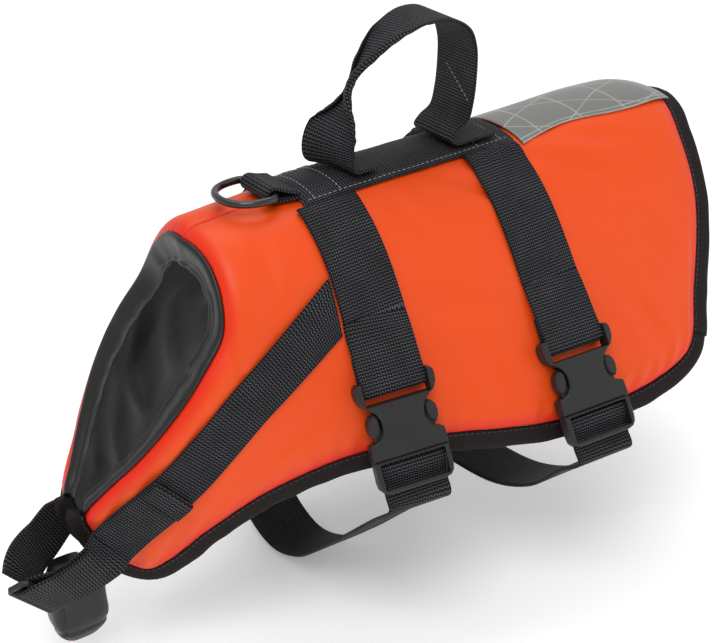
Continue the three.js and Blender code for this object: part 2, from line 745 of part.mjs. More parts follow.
// Slider: three bars between two sides
const sliderLength = 37;
const sliderDepth = 16;
const sliderThickness = 3.4;
const sliderBar = 3;
const sliderSide = 3.2;
const sliderCorner = 3;
function sliderGeometry() {
  const half = sliderLength / 2;
  const deep = sliderDepth / 2;
  const inner = half - sliderSide;
  const middle = sliderBar / 2 - 0.4;
  const frame = [[half - sliderCorner, -deep], [half, -deep + sliderCorner], [half, deep - sliderCorner],
    [half - sliderCorner, deep]];
  const slot = (low, high) => [[-inner, low], [-inner, high], [inner, high], [inner, low]];
  const slots = [slot(-deep + sliderBar, -middle), slot(middle, deep - sliderBar)];
  const solid = plate(mirrored(frame), -sliderThickness / 2, sliderThickness / 2, slots);
  const place = new THREE.Matrix4().makeBasis(sliderAcross, sliderRun, sliderUp).setPosition(sliderAt);
  return solid.applyMatrix4(place);
}
addPiece('slider', sliderGeometry(), mouldedBlack);

// Padded piece below the chest strap: rounded sections from its top edge down.
const padSections = [
  { z: -190, x: -236, y: 2.4, halfX: 12, halfY: 9 },
  { z: -196, x: -235, y: 2.4, halfX: 15, halfY: 11 },
  { z: -208, x: -234, y: 2.4, halfX: 17.5, halfY: 12 },
  { z: -223, x: -234, y: 2.4, halfX: 17.5, halfY: 12 },
  { z: -235, x: -234, y: 2.4, halfX: 15.5, halfY: 10 },
  { z: -241, x: -234, y: 2.4, halfX: 10.5, halfY: 6.5 },
  { z: -243, x: -234, y: 2.4, halfX: 4, halfY: 3 },
];
const padSides = 20;
const padSquareness = 0.62;
function padFrames() {
  return padSections.map(({ z, x, y, halfX, halfY }) => ({
    at: new THREE.Vector3(x, y, z),
    across: new THREE.Vector3(halfX, 0, 0),
    up: new THREE.Vector3(0, halfY, 0),
  }));
}
const squareRound = (value) => Math.sign(value) * Math.abs(value) ** padSquareness;
const padProfile = Array.from({ length: padSides }, (_, j) => {
  const angle = 2 * Math.PI * (j + 0.5) / padSides;
  return [squareRound(Math.cos(angle)), squareRound(Math.sin(angle))];
});
addPiece('chest_pad', sweptGeometry(padFrames(), padProfile), bindingBlack);

// Bands across the spine: the back webbing, the ring's tab and the reflective patch
function spinePoint(x, y, lift) {
  return liftedPoint(x, Math.abs(y), y < 0 ? left : right, lift);
}

const spineShares = [0, 0.3, 0.6, 1];
const spineLift = (x) =>
  Math.max(bindingTop, ...spineShares.map((share) => foamLift(x, share * spineWebHalf))) + bandClear;

function spineBand(stations, thickness, columns) {
  const upper = [];
  const lower = [];
  for (const { x, half } of stations) {
    const ys = Array.from({ length: columns + 1 }, (_, k) => half * (2 * k / columns - 1));
    lower.push(ys.map((y) => spinePoint(x, y, spineLift(x))));
    upper.push(ys.map((y) => spinePoint(x, y, spineLift(x) + thickness)));
  }
  return wallGeometry(upper, lower);
}

const backWebFrom = -80;
const backWebTo = 72;
const backWebSteps = 14;
const backStations = Array.from({ length: backWebSteps + 1 }, (_, i) =>
  ({ x: lerp(backWebFrom, backWebTo, i / backWebSteps), half: spineWebHalf }));
addPiece('spine_webbing', spineBand(backStations, webThickness, 6), webbingBlack);

// The patch runs from the rear girth strap to the rear binding, with a gently waved outline.
const patchThickness = 1.2;
const patchStations = [
  { x: 76, half: 25 },
  { x: 88, half: 23 },
  { x: 102, half: 21 },
  { x: 116, half: 20.5 },
  { x: 132, half: 22 },
  { x: 148, half: 24 },
  { x: 164, half: 24.5 },
  { x: 178, half: 23.5 },
  { x: 190, half: 22 },
  { x: 199, half: 20.5 },
  { x: 205.5, half: 19 },
];
addPiece('reflective_patch', spineBand(patchStations, patchThickness, 8), tapeGrey);

// Ring at the front of the back webbing, flat towards the neck, and the tab that holds its bar
const ringBarX = -96;
const ringWire = 2.3;
const ringHalfWidth = 19;
const ringReach = 27;
const ringCorner = 5;
const ringSteps = 40;
const ringSides = 8;
const tabWidth = 30;
const tabRadius = ringWire + 0.8 + webThickness / 2;
const tabSeatZ = spinePoint(ringBarX, 0, spineLift(ringBarX) + webThickness / 2).z;
const ringZ = tabSeatZ + tabRadius;
const tabFoot = 15.2;
const tabAngles = [-90, -125, -160, -200, -235, -270];

function tabGeometry() {
  const aroundBar = tabAngles.map((angle) =>
    [ringBarX + tabRadius * Math.cos(angle * degrees), ringZ + tabRadius * Math.sin(angle * degrees)]);
  const points = [
    [ringBarX + tabFoot, tabSeatZ + 0.9],
    [ringBarX + 6, tabSeatZ + 0.1],
    ...aroundBar,
    [ringBarX + 7, ringZ + 1.6],
    [ringBarX + tabFoot, tabSeatZ + layerStep + 0.9],
  ];
  const across = new THREE.Vector3(0, 1, 0);
  const controls = points.map(([x, z]) => ({ at: new THREE.Vector3(x, 0, z), across }));
  return bandGeometry(freeRows(controls, 20, tabWidth, new THREE.Vector3(0, 0, 1)));
}
addPiece('ring_tab', tabGeometry(), webbingBlack);

// Middle line of the ring: a straight bar, two corners and a round bow towards the neck
function ringPath() {
  const half = ringHalfWidth;
  const at = (reach, y) => new THREE.Vector3(ringBarX - reach, y, ringZ);
  const shoulder = ringReach * 0.8;
  const path = new THREE.CurvePath();
  path.add(new THREE.LineCurve3(at(0, ringCorner - half), at(0, half - ringCorner)));
  path.add(new THREE.QuadraticBezierCurve3(at(0, half - ringCorner), at(0, half), at(ringCorner, half)));
  path.add(new THREE.CubicBezierCurve3(
    at(ringCorner, half), at(shoulder, half), at(ringReach, half / 2), at(ringReach, 0)));
  path.add(new THREE.CubicBezierCurve3(
    at(ringReach, 0), at(ringReach, -half / 2), at(shoulder, -half), at(ringCorner, -half)));
  path.add(new THREE.QuadraticBezierCurve3(at(ringCorner, -half), at(0, -half), at(0, ringCorner - half)));
  return path;
}

// Rod of round section along a closed flat path
function ringGeometry() {
  const path = ringPath();
  const points = Array.from({ length: ringSteps }, (_, i) => path.getPointAt(i / ringSteps));
  const positions = [];
  const indices = [];
  points.forEach((point, i) => {
    const tangent = points[(i + 1) % ringSteps].clone().sub(points.at(i - 1)).normalize();
    const across = new THREE.Vector3(tangent.y, -tangent.x, 0);
    const ahead = (i + 1) % ringSteps;
    for (let j = 0; j < ringSides; j += 1) {
      const angle = 2 * Math.PI * (j + 0.5) / ringSides;
      const place = point.clone().addScaledVector(across, ringWire * Math.cos(angle));
      positions.push(place.x, place.y, place.z + ringWire * Math.sin(angle));
      const next = (j + 1) % ringSides;
      const [a, b] = [i * ringSides + j, i * ringSides + next];
      const [c, d] = [ahead * ringSides + next, ahead * ringSides + j];
      indices.push(a, b, c, a, c, d);
    }
  });
  return closedGeometry(positions, indices);
}
addPiece('d_ring', ringGeometry(), ringBlack);

// Handle: one webbing, flat on the back webbing at both ends, folded narrow and twisted above its front foot.
// turn: degrees between the webbing's width and the line across the back.
const handleWidth = 38;
const handleRows = 75;
const handleSections = [
  { x: -27, rise: 1.6, turn: -6 },
  { x: -37, rise: 1.8, turn: -12 },
  { x: -45, rise: 2.6, turn: -18 },
  { x: -49, rise: 7, turn: -20 },
  { x: -49, rise: 16, turn: -20 },
  { x: -45, rise: 24, width: 35, thickness: 2.2, turn: -18 },
  { x: -40, rise: 31, width: 29, thickness: 3, turn: 0 },
  { x: -37, rise: 37, width: 25, thickness: 3.4, turn: 20 },
  { x: -34, rise: 42.5, width: 23, thickness: 3.6, turn: 36 },
  { x: -31, rise: 48.5, width: 23, thickness: 3.6, turn: 44 },
  { x: -26.7, rise: 55.5, width: 25, thickness: 3.4, turn: 36 },
  { x: -20.3, rise: 62, width: 28, thickness: 3, turn: 27 },
  { x: -11.7, rise: 69.5, width: 32, thickness: 2.4, turn: 20 },
  { x: -1, rise: 76, width: 36, thickness: 2, turn: 15 },
  { x: 12, rise: 80.5, turn: 9 },
  { x: 29, rise: 79, turn: 3 },
  { x: 40, rise: 71 },
  { x: 44.5, rise: 59 },
  { x: 44.5, rise: 41 },
  { x: 42.5, rise: 26 },
  { x: 39, rise: 15.5 },
  { x: 31, rise: 10.5 },
  { x: 27, rise: 6 },
  { x: 31, rise: 2.2 },
  { x: 42, rise: 1.7 },
  { x: 60, rise: 1.5 },
];
function handleGeometry() {
  const controls = handleSections.map(({ x, rise, width, thickness, turn = 0 }) => {
    const webTop = spinePoint(x, 0, spineLift(x) + webThickness).z;
    const across = new THREE.Vector3(Math.sin(turn * degrees), Math.cos(turn * degrees), 0);
    return { at: new THREE.Vector3(x, 0, webTop + rise), across, width, thickness };
  });
  return bandGeometry(freeRows(controls, handleRows, handleWidth, new THREE.Vector3(0, 0, 1)));
}
addPiece('handle', handleGeometry(), webbingBlack);

export default jacket;
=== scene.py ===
import math

import bmesh
import bpy
import numpy as np
from mathutils import Matrix, Vector


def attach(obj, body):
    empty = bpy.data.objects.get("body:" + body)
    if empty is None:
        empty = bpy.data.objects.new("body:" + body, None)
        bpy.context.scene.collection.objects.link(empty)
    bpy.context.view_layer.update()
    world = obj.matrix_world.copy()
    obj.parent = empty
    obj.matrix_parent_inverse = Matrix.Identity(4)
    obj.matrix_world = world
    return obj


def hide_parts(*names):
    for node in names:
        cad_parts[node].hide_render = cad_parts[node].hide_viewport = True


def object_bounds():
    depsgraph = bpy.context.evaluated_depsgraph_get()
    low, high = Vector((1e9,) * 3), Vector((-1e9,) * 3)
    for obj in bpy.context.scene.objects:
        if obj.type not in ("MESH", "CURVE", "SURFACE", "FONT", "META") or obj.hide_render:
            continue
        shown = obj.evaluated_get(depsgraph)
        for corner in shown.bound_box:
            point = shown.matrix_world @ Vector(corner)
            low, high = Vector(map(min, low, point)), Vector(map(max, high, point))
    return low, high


# Dog life jacket: orange foam panels, black binding and webbing. Lengths below are in mm.
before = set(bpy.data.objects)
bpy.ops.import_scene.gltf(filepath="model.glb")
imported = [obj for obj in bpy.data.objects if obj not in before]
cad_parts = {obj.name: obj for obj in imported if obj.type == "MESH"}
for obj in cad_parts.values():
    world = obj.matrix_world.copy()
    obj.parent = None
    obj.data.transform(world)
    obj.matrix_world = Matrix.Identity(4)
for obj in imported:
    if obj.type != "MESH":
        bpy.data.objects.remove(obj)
cadLow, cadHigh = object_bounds()
mm = 0.001
left = -1
right = 1
print("frame loaded")

# Form of the garment

garment = {
    "stations": [-245, -205, -150, -67, 53, 150, 215],
    "spine": [-8, -7, -5, 2, 5, 10, 8],  # height of the back at each station
    "shoulder": [5, 43, 46, 35, 41, 45, 45],  # how fast the side turns down
    "flare": [90, 101, 88, 67, 60, 60, 60],  # steepest turn of the side, degrees
    "shoulderPower": 1.4,
    "panelBack": 4,
    "panelPuff": 7.5,
    "puffRun": 24,
    "liningGap": 0.4,
    "liningThickness": 1.6,
}
neckEdge = [(-148, 0), (-146, 22), (-147, 45), (-152, 67), (-166, 84), (-186, 108), (-206, 133), (-220, 147),
            (-229, 156)]
frontEdge = [(-229, 156), (-226, 170), (-218, 190), (-208, 206), (-197, 213)]
hemEdge = [(-197, 213), (-186, 205), (-168, 185), (-142, 169), (-106, 161), (-72, 162), (-36, 168), (0, 178),
           (36, 186), (84, 189), (115, 187), (136, 181), (147, 170)]
rearEdge = [(209, 0), (203, 20), (193, 47), (184, 86), (172, 116), (157, 146), (147, 170)]


def smoothThrough(xs, ys, x):
    # smooth curve through uneven stations
    xs, ys = np.asarray(xs, float), np.asarray(ys, float)
    last = len(xs) - 2
    i = np.searchsorted(xs[1:-1], x, side="left")
    slope = lambda p, q: (ys[q] - ys[p]) / (xs[q] - xs[p])
    before = np.where(i > 0, slope(np.maximum(i - 1, 0), i + 1), slope(i, i + 1))
    after = np.where(i < last, slope(i, np.minimum(i + 2, last + 1)), slope(i, i + 1))
    width = xs[i + 1] - xs[i]
    t = np.clip((x - xs[i]) / width, -0.3, 1.3)
    h = t * t * (3 - 2 * t)
    rise = t * (1 - t) ** 2 * before - t * t * (1 - t) * after
    return ys[i] + h * (ys[i + 1] - ys[i]) + rise * width


def columnAt(key, x):
    return smoothThrough(garment["stations"], garment[key], x)


raiseBy = -(float(columnAt("spine", np.array(0.0))) - garment["panelBack"] - garment["liningGap"]
            - garment["liningThickness"])


def surfacePoint(x, s, side):
    # point s down the near (left) or far (right) side
    x, s = np.broadcast_arrays(np.asarray(x, float), np.asarray(s, float))
    z = columnAt("spine", x).astype(float)
    shoulder, flare = columnAt("shoulder", x), np.radians(columnAt("flare", x))
    y = np.zeros_like(z)
    step = s / 48
    for i in range(48):
        along = np.abs((i + 0.5) * step)
        turn = flare * (1 - np.exp(-((along / shoulder) ** garment["shoulderPower"])))
        y = y + np.cos(turn) * step
        z = z - np.sin(turn) * np.abs(step)
    return np.stack([x, side * y, z + raiseBy], -1)


def unit(v):
    return v / np.maximum(np.linalg.norm(v, axis=-1, keepdims=True), 1e-12)


def surfaceFrame(x, s, side):
    along = surfacePoint(x + 0.5, s, side) - surfacePoint(x - 0.5, s, side)
    down = surfacePoint(x, s + 0.5, side) - surfacePoint(x, s - 0.5, side)
    return along, down, unit(np.cross(along, down) * side)


def liftedPoint(x, s, side, lift):
    x, s = np.broadcast_arrays(np.asarray(x, float), np.asarray(s, float))
    return surfacePoint(x, s, side) + surfaceFrame(x, s, side)[2] * np.asarray(lift)[..., None]


outlineRows = np.array(neckEdge + frontEdge[1:] + hemEdge[1:] + rearEdge[::-1][1:], float)
rowCount = len(outlineRows)


def outlineAt(t):
    place = np.clip(np.asarray(t, float), 0, 1) * (rowCount - 1)
    i = np.minimum(np.floor(place).astype(int), rowCount - 1)
    w = (place - i)[..., None]
    pick = lambda k: outlineRows[np.clip(k, 0, rowCount - 1)]
    p0, p1, p2, p3 = pick(i - 1), pick(i), pick(i + 1), pick(i + 2)
    v0, v1 = (p2 - p0) / 2, (p3 - p1) / 2
    return (2 * p1 - 2 * p2 + v0 + v1) * w ** 3 + (-3 * p1 + 3 * p2 - 2 * v0 - v1) * w ** 2 + v0 * w + p1


evenT = np.linspace(0, 1, 30 * (rowCount - 1) + 1)
evenPoints = outlineAt(evenT)
outlineLengths = np.concatenate([[0], np.cumsum(np.linalg.norm(np.diff(evenPoints, axis=0), axis=1))])
outlineLength = outlineLengths[-1]
shareOf = lambda row: outlineLengths[row * 30] / outlineLength
neckCorner = shareOf(len(neckEdge) - 1)
frontTip = shareOf(len(neckEdge) + len(frontEdge) - 2)
rearCorner = shareOf(len(neckEdge) + len(frontEdge) + len(hemEdge) - 3)


def pointAt(share):
    return outlineAt(np.interp(np.asarray(share) * outlineLength, outlineLengths, evenT))


def panelNode(u, v):
    # u from the neck to the tail edge, v from the spine to the hem
    u, v = np.broadcast_arrays(u, v)
    front, back = pointAt(frontTip * v), pointAt(1 + (rearCorner - 1) * v)
    low = pointAt(frontTip + (rearCorner - frontTip) * u)
    u, v = u[..., None], v[..., None]
    mix = lambda a, b, w: a + (b - a) * w
    top = mix(pointAt(0.0), pointAt(1.0), u)
    lowCorner = mix(pointAt(frontTip), pointAt(rearCorner), u)
    node = top * (1 - v) + low * v + front * (1 - u) + back * u - top * (1 - v) - lowCorner * v
    return node[..., 0], np.maximum(node[..., 1], 0)


edgeLoop = pointAt(np.linspace(0, 1, 700))


def edgeDistance(x, s):
    # distance from the panel's outline, negative outside
    x, s = np.broadcast_arrays(np.asarray(x, float), np.asarray(s, float))
    flat = np.stack([x.ravel(), s.ravel()], 1)
    best = np.full(len(flat), 1e9)
    inside = np.zeros(len(flat), bool)
    for k in range(0, len(flat), 4000):
        gap = flat[k:k + 4000, None, :] - edgeLoop[None, :, :]
        best[k:k + 4000] = np.sqrt((gap ** 2).sum(-1).min(1))
    # the spine isn't an edge, so the loop is mirrored there for the inside test
    loop = np.concatenate([edgeLoop, edgeLoop[::-1] * [1, -1]])
    for a, b in zip(loop, np.roll(loop, -1, 0)):
        if a[1] == b[1]:
            continue
        crosses = (a[1] > flat[:, 1]) != (b[1] > flat[:, 1])
        inside ^= crosses & (flat[:, 0] < (b[0] - a[0]) * (flat[:, 1] - a[1]) / (b[1] - a[1]) + a[0])
    return np.where(inside, best, -best).reshape(x.shape)


def roundRise(distance, run):
    t = np.clip(distance / run, 0, 1)
    return np.sqrt(1 - (1 - t) ** 2)


def foamLift(x, s):
    valley = 3 * (1 - roundRise(s, 12))
    return (garment["panelPuff"] - valley) * roundRise(edgeDistance(x, s), garment["puffRun"])


def bandSeat(x, s):
    foam = garment["panelPuff"] * roundRise(edgeDistance(x, s) + 8, garment["puffRun"])
    return np.maximum(0.8, foam) + 0.8


# Smooth pseudo noise on a plane, the same on every run
def softNoise(x, y, scale, seed):
    rng = np.random.default_rng(seed)
    total = np.zeros(np.broadcast(x, y).shape)
    for k in range(10):
        angle, phase = rng.uniform(0, 2 * math.pi, 2)
        pitch = scale * rng.uniform(0.7, 1.6)
        total += np.sin((x * math.cos(angle) + y * math.sin(angle)) * 2 * math.pi / pitch + phase)
    return total / 10


# Meshes


def finishObject(name, bm, material):
    mesh = bpy.data.meshes.new(name)
    bm.to_mesh(mesh)
    bm.free()
    obj = bpy.data.objects.new(name, mesh)
    bpy.context.scene.collection.objects.link(obj)
    mesh.materials.append(material)
    for face in mesh.polygons:
        face.use_smooth = True
    return obj


def gridWall(name, upper, lower, uvs, material, extra=None):
    # closed wall between two grids of points; uvs in metres
    rows, columns = upper.shape[:2]
    bm = bmesh.new()
    shares = bm.verts.layers.int.new("node")
    bmesh.ops.create_grid(bm, x_segments=columns - 1, y_segments=rows - 1, size=1)
    bm.verts.ensure_lookup_table()
    for v in bm.verts:
        j = round((v.co.x + 1) / 2 * (columns - 1))
        i = round((v.co.y + 1) / 2 * (rows - 1))
        v[shares] = i * columns + j
    tops = list(bm.verts)
    flatUpper, flatLower = upper.reshape(-1, 3) * mm, lower.reshape(-1, 3) * mm
    copied = bmesh.ops.extrude_face_region(bm, geom=list(bm.faces), use_keep_orig=True)
    backs = [g for g in copied["geom"] if isinstance(g, bmesh.types.BMVert)]
    for v in tops:
        v.co = flatUpper[v[shares]]
    for v in backs:
        v.co = flatLower[v[shares]]
    uvLayer = bm.loops.layers.uv.new("cut")
    flatUv = uvs.reshape(-1, 2)
    for face in bm.faces:
        for loop in face.loops:
            loop[uvLayer].uv = flatUv[loop.vert[shares]]
    bmesh.ops.recalc_face_normals(bm, faces=bm.faces)
    obj = finishObject(name, bm, material)
    if extra is not None:
        keep = np.array([d.value for d in obj.data.attributes["node"].data])
        layer = obj.data.attributes.new("edge", "FLOAT", "POINT")
        layer.data.foreach_set("value", extra.ravel()[keep].astype(np.float32))
    return obj


def ringSweep(name, rings, along, acrossOf, material):
    # rings: frames x sides x 3 in mm; along: mm down the piece; acrossOf: mm across for each side point
    count, sides = rings.shape[:2]
    bm = bmesh.new()
    bmesh.ops.create_grid(bm, x_segments=sides, y_segments=count - 1, size=1)
    uvLayer = bm.loops.layers.uv.new("cut")
    indexOf = {}
    for v in bm.verts:
        indexOf[v] = (round((v.co.y + 1) / 2 * (count - 1)), round((v.co.x + 1) / 2 * sides))
    across = list(acrossOf) + [acrossOf[0]]
    for face in bm.faces:
        for loop in face.loops:
            i, j = indexOf[loop.vert]
            loop[uvLayer].uv = (along[i] * mm, across[j] * mm)
    for v, (i, j) in indexOf.items():
        v.co = Vector(rings[i, j % sides]) * mm
    bmesh.ops.remove_doubles(bm, verts=bm.verts, dist=1e-7)
    rims = [e for e in bm.edges if e.is_boundary]
    if rims:
        bmesh.ops.holes_fill(bm, edges=rims, sides=0)
    bmesh.ops.recalc_face_normals(bm, faces=bm.faces)
    return finishObject(name, bm, material)


def hermite(a, b, leave, arrive, w):
    cubic = 2 * a - 2 * b + leave + arrive
    square = -3 * a + 3 * b - 2 * leave - arrive
    return cubic * w ** 3 + square * w ** 2 + leave * w + a


def catmull(points, count):
    # centripetal curve through control points, count + 1 places evenly in control number
    points = np.asarray(points, float)
    last = len(points) - 1
    first = 2 * points[0] - points[1]
    end = 2 * points[-1] - points[-2]
    out = []
    for place in np.linspace(0, last, count + 1):
        i = min(int(place), last - 1)
        w = place - i
        p0 = points[i - 1] if i > 0 else first
        p1, p2 = points[i], points[i + 1]
        p3 = points[i + 2] if i + 2 <= last else end
        d0, d1, d2 = (max(np.linalg.norm(b - a), 1e-6) ** 0.5 for a, b in ((p0, p1), (p1, p2), (p2, p3)))
        t1 = ((p1 - p0) / d0 - (p2 - p0) / (d0 + d1) + (p2 - p1) / d1) * d1
        t2 = ((p2 - p1) / d1 - (p3 - p1) / (d1 + d2) + (p3 - p2) / d2) * d1
        out.append(hermite(p1, p2, t1, t2, w))
    return np.array(out)


webSides = 10  # columns across a webbing


def bandShape(middle, normal, acrossDir, thickness=1.8, wobble=0.0, seed=1):
    # closed rings round a webbing: middle and normal are rows x columns x 3
    count, columns = middle.shape[:2]
    half = thickness / 2
    if wobble:
        edge = softNoise(np.arange(count) * 3.0, np.zeros(count), 40, seed) * wobble
        middle = middle + normal * edge[:, None, None]
    inset = np.zeros((columns, 1))
    inset[0], inset[-1] = 0.35, -0.35
    body = middle + acrossDir * inset[None]
    top = body + normal * half
    low = body - normal * half
    sideLow = (middle[:, :1] - acrossDir[:, :1] * 0.25)
    sideHigh = (middle[:, -1:] + acrossDir[:, -1:] * 0.25)
    return np.concatenate([top, sideHigh, low[:, ::-1], sideLow], 1)


def bandAcross(width, columns):
    row = list(np.linspace(0, width, columns))
    return row + [width + 0.5] + row[::-1] + [-0.5]


def band(name, middle, normal, width, material, thickness=1.8, wobble=0.0, seed=1):
    acrossDir = unit(np.gradient(middle, axis=1))
    centre = middle[:, middle.shape[1] // 2]
    along = np.concatenate([[0], np.cumsum(np.linalg.norm(np.diff(centre, axis=0), axis=1))])
    rings = bandShape(middle, normal, acrossDir, thickness, wobble, seed)
    obj = ringSweep(name, rings, along, bandAcross(width, middle.shape[1]), material)
    obj["cutLength"] = float(along[-1])
    return obj


def panelBand(line, side, width, lift=0.0, squareTo=None):
    # rows of a band on the panel along (x, s) points; returns middle and normal
    line = np.asarray(line, float)
    run = np.gradient(line, axis=0)
    along, down, out = surfaceFrame(line[:, 0], line[:, 1], side)
    runDir = along * run[:, :1] + down * run[:, 1:]
    across = unit(np.cross(out, runDir))
    aa, ad, dd = (along * along).sum(1), (along * down).sum(1), (down * down).sum(1)
    ra, rd = (across * along).sum(1), (across * down).sum(1)
    det = aa * dd - ad * ad
    q = np.stack([(ra * dd - rd * ad) / det, (rd * aa - ra * ad) / det], 1)
    if squareTo is not None:
        turn = squareTo[:, None]
        q = q * (1 - turn) + np.stack([np.zeros(len(q)), np.sign(q[:, 1]) * 1.15], 1) * turn
    k = np.linspace(-0.5, 0.5, webSides + 1)[None, :]
    x = line[:, :1] + q[:, :1] * k * width
    s = line[:, 1:] + q[:, 1:] * k * width
    normal = surfaceFrame(x, s, side)[2]
    foot = surfacePoint(x, s, side) + normal * (bandSeat(x, s) + lift + 0.9)[..., None]
    return foot, normal


def flatRow(centre, across, up, count, width):
    k = np.linspace(-0.5, 0.5, count)[:, None] * width
    return centre + across * k, np.repeat(up[None], count, 0)


def foldedRow(centre, across, up, count, width, span):
    # webbing whose two edges are turned under, so that only span is left between the folds
    radius = 1.25
    flat = max(span / 2 - radius, 0.0)
    middle, normal = [], []
    for k in np.linspace(-0.5, 0.5, count) * width:
        side, beyond = (1 if k >= 0 else -1), abs(k) - flat
        room = width / 2 - flat
        if room <= radius * 1.2 or beyond <= 0:
            middle.append(centre + across * k)
            normal.append(up)
            continue
        turn = min(beyond / radius, math.pi * 0.96)
        rest = max(beyond - turn * radius, 0)
        out = flat + radius * math.sin(turn) + rest * math.cos(turn)
        sink = radius * (1 - math.cos(turn)) + rest * math.sin(turn)
        middle.append(centre + across * side * out - up * sink)
        normal.append(up * math.cos(turn) + across * side * math.sin(turn))
    return np.array(middle), np.array(normal)


def freeBand(controls, count, width, firstUp, folded=False, columns=webSides + 1):
    # controls: (point, across direction, width); returns middle and normal rows
    points = np.array([c[0] for c in controls], float)
    centre = catmull(points, count)
    place = np.linspace(0, len(points) - 1, count + 1)
    i = np.minimum(place.astype(int), len(points) - 2)
    w = (place - i)[:, None]
    acrosses = np.array([c[1] for c in controls], float)
    across = acrosses[i] * (1 - w) + acrosses[i + 1] * w
    widths = np.array([c[2] if len(c) > 2 else width for c in controls], float)
    widths = widths[i] * (1 - w[:, 0]) + widths[i + 1] * w[:, 0]
    tangent = unit(np.gradient(centre, axis=0))
    across = unit(across - tangent * (across * tangent).sum(1)[:, None])
    up = unit(np.cross(tangent, across))
    before = np.asarray(firstUp, float)
    for k in range(len(up)):
        if up[k] @ before < 0:
            up[k] *= -1
        before = up[k]
    if folded:
        rows = [foldedRow(c, a, u, columns, width, w) for c, a, u, w in zip(centre, across, up, widths)]
    else:
        rows = [flatRow(c, a, u, columns, w) for c, a, u, w in zip(centre, across, up, widths)]
    return np.array([r[0] for r in rows]), np.array([r[1] for r in rows])


def joinBands(*parts):
    return np.concatenate([p[0] for p in parts]), np.concatenate([p[1] for p in parts])


# Materials


def srgb(hexColour):
    value = hexColour.lstrip("#")
    parts = [int(value[k:k + 2], 16) / 255 for k in (0, 2, 4)]
    return tuple(c / 12.92 if c <= 0.04045 else ((c + 0.055) / 1.055) ** 2.4 for c in parts) + (1.0,)


def addNode(tree, kind, settings=None, links=None):
    # settings: attribute or input values; links: input -> output socket
    node = tree.nodes.new(kind)
    for key, value in (settings or {}).items():
        if isinstance(key, str) and hasattr(node, key) and not isinstance(key, int) and key not in node.inputs:
            setattr(node, key, value)
        else:
            node.inputs[key].default_value = value
    for key, socket in (links or {}).items():
        tree.links.new(socket, node.inputs[key])
    return node


def newMaterial(name, baseColour, roughness, **sockets):
    material = bpy.data.materials.new(name)
    material.use_nodes = True
    shader = material.node_tree.nodes["Principled BSDF"]
    shader.inputs["Base Color"].default_value = srgb(baseColour)
    shader.inputs["Roughness"].default_value = roughness
    for key, value in sockets.items():
        shader.inputs[key.replace("_", " ")].default_value = value
    return material, material.node_tree, shader


def uvMillimetres(tree):
    uv = addNode(tree, "ShaderNodeUVMap", {"uv_map": "cut"})
    scaled = addNode(tree, "ShaderNodeMapping", {"vector_type": "POINT", "Scale": (1000, 1000, 1000)},
                     {"Vector": uv.outputs["UV"]})
    return addNode(tree, "ShaderNodeSeparateXYZ", {}, {"Vector": scaled.outputs["Vector"]})


def mathNode(tree, operation, a, b=None):
    node = addNode(tree, "ShaderNodeMath", {"operation": operation})
    for index, value in enumerate((a, b)):
        if value is None:
            continue
        if isinstance(value, (int, float)):
            node.inputs[index].default_value = value
        else:
            tree.links.new(value, node.inputs[index])
    return node.outputs[0]


def objectNoise(tree, scale, detail):
    coords = addNode(tree, "ShaderNodeTexCoord")
    return addNode(tree, "ShaderNodeTexNoise", {"Scale": scale, "Detail": detail},
                   {"Vector": coords.outputs["Object"]})


def addBump(tree, shader, height, strength, distance):
    bump = addNode(tree, "ShaderNodeBump", {"Strength": strength, "Distance": distance}, {"Height": height})
    tree.links.new(bump.outputs["Normal"], shader.inputs["Normal"])


def mixColours(tree, shader, share, first, second):
    mix = addNode(tree, "ShaderNodeMix", {"data_type": "RGBA"}, {"Factor": share})
    mix.inputs[6].default_value = srgb(first)
    mix.inputs[7].default_value = srgb(second)
    tree.links.new(mix.outputs[2], shader.inputs["Base Color"])


# Coated polyester over foam: a smooth, taut, fluorescent skin with a soft gloss; its colour is painted darker and
# redder
#  where it turns down to a seam and along the spine, as painted shade, and a very fine weave shows through the
#  coat.
coatedCloth = {"middle": "#e0480a", "rim": "#dc1c04", "roughness": 0.42, "weave": 0.9}


def makeCoatedCloth():
    material, tree, shader = newMaterial("coated orange polyester", coatedCloth["middle"],
                                         coatedCloth["roughness"], IOR=1.5, Specular_IOR_Level=0.3)
    edge = addNode(tree, "ShaderNodeAttribute", {"attribute_name": "edge"})
    fromRim = {"From Min": 0.0, "From Max": 1.0, "To Min": 1.0, "To Max": 0.0, "interpolation_type": "SMOOTHSTEP"}
    ramp = addNode(tree, "ShaderNodeMapRange", fromRim, {"Value": edge.outputs["Fac"]})
    cloud = objectNoise(tree, 9.0, 3.0)
    patchy = mathNode(tree, "ADD", cloud.outputs["Fac"], 0.35)
    share = mathNode(tree, "MULTIPLY", ramp.outputs["Result"], patchy)
    # painted shade: the darker, redder rim colour is mixed in near the seams and the spine
    mixColours(tree, shader, share, coatedCloth["middle"], coatedCloth["rim"])
    mmUv = uvMillimetres(tree)
    perMm = 2 * math.pi / coatedCloth["weave"]
    warp = mathNode(tree, "SINE", mathNode(tree, "MULTIPLY", mmUv.outputs["X"], perMm))
    weft = mathNode(tree, "SINE", mathNode(tree, "MULTIPLY", mmUv.outputs["Y"], perMm))
    weave = mathNode(tree, "MULTIPLY", warp, weft)
    rumple = objectNoise(tree, 45.0, 4.0)
    height = mathNode(tree, "ADD", mathNode(tree, "MULTIPLY", weave, 0.02), rumple.outputs["Fac"])
    addBump(tree, shader, height, 0.12, 0.001)
    gloss = addNode(tree, "ShaderNodeMapRange", {"To Min": 0.36, "To Max": 0.5}, {"Value": cloud.outputs["Fac"]})
    tree.links.new(gloss.outputs["Result"], shader.inputs["Roughness"])
    return material


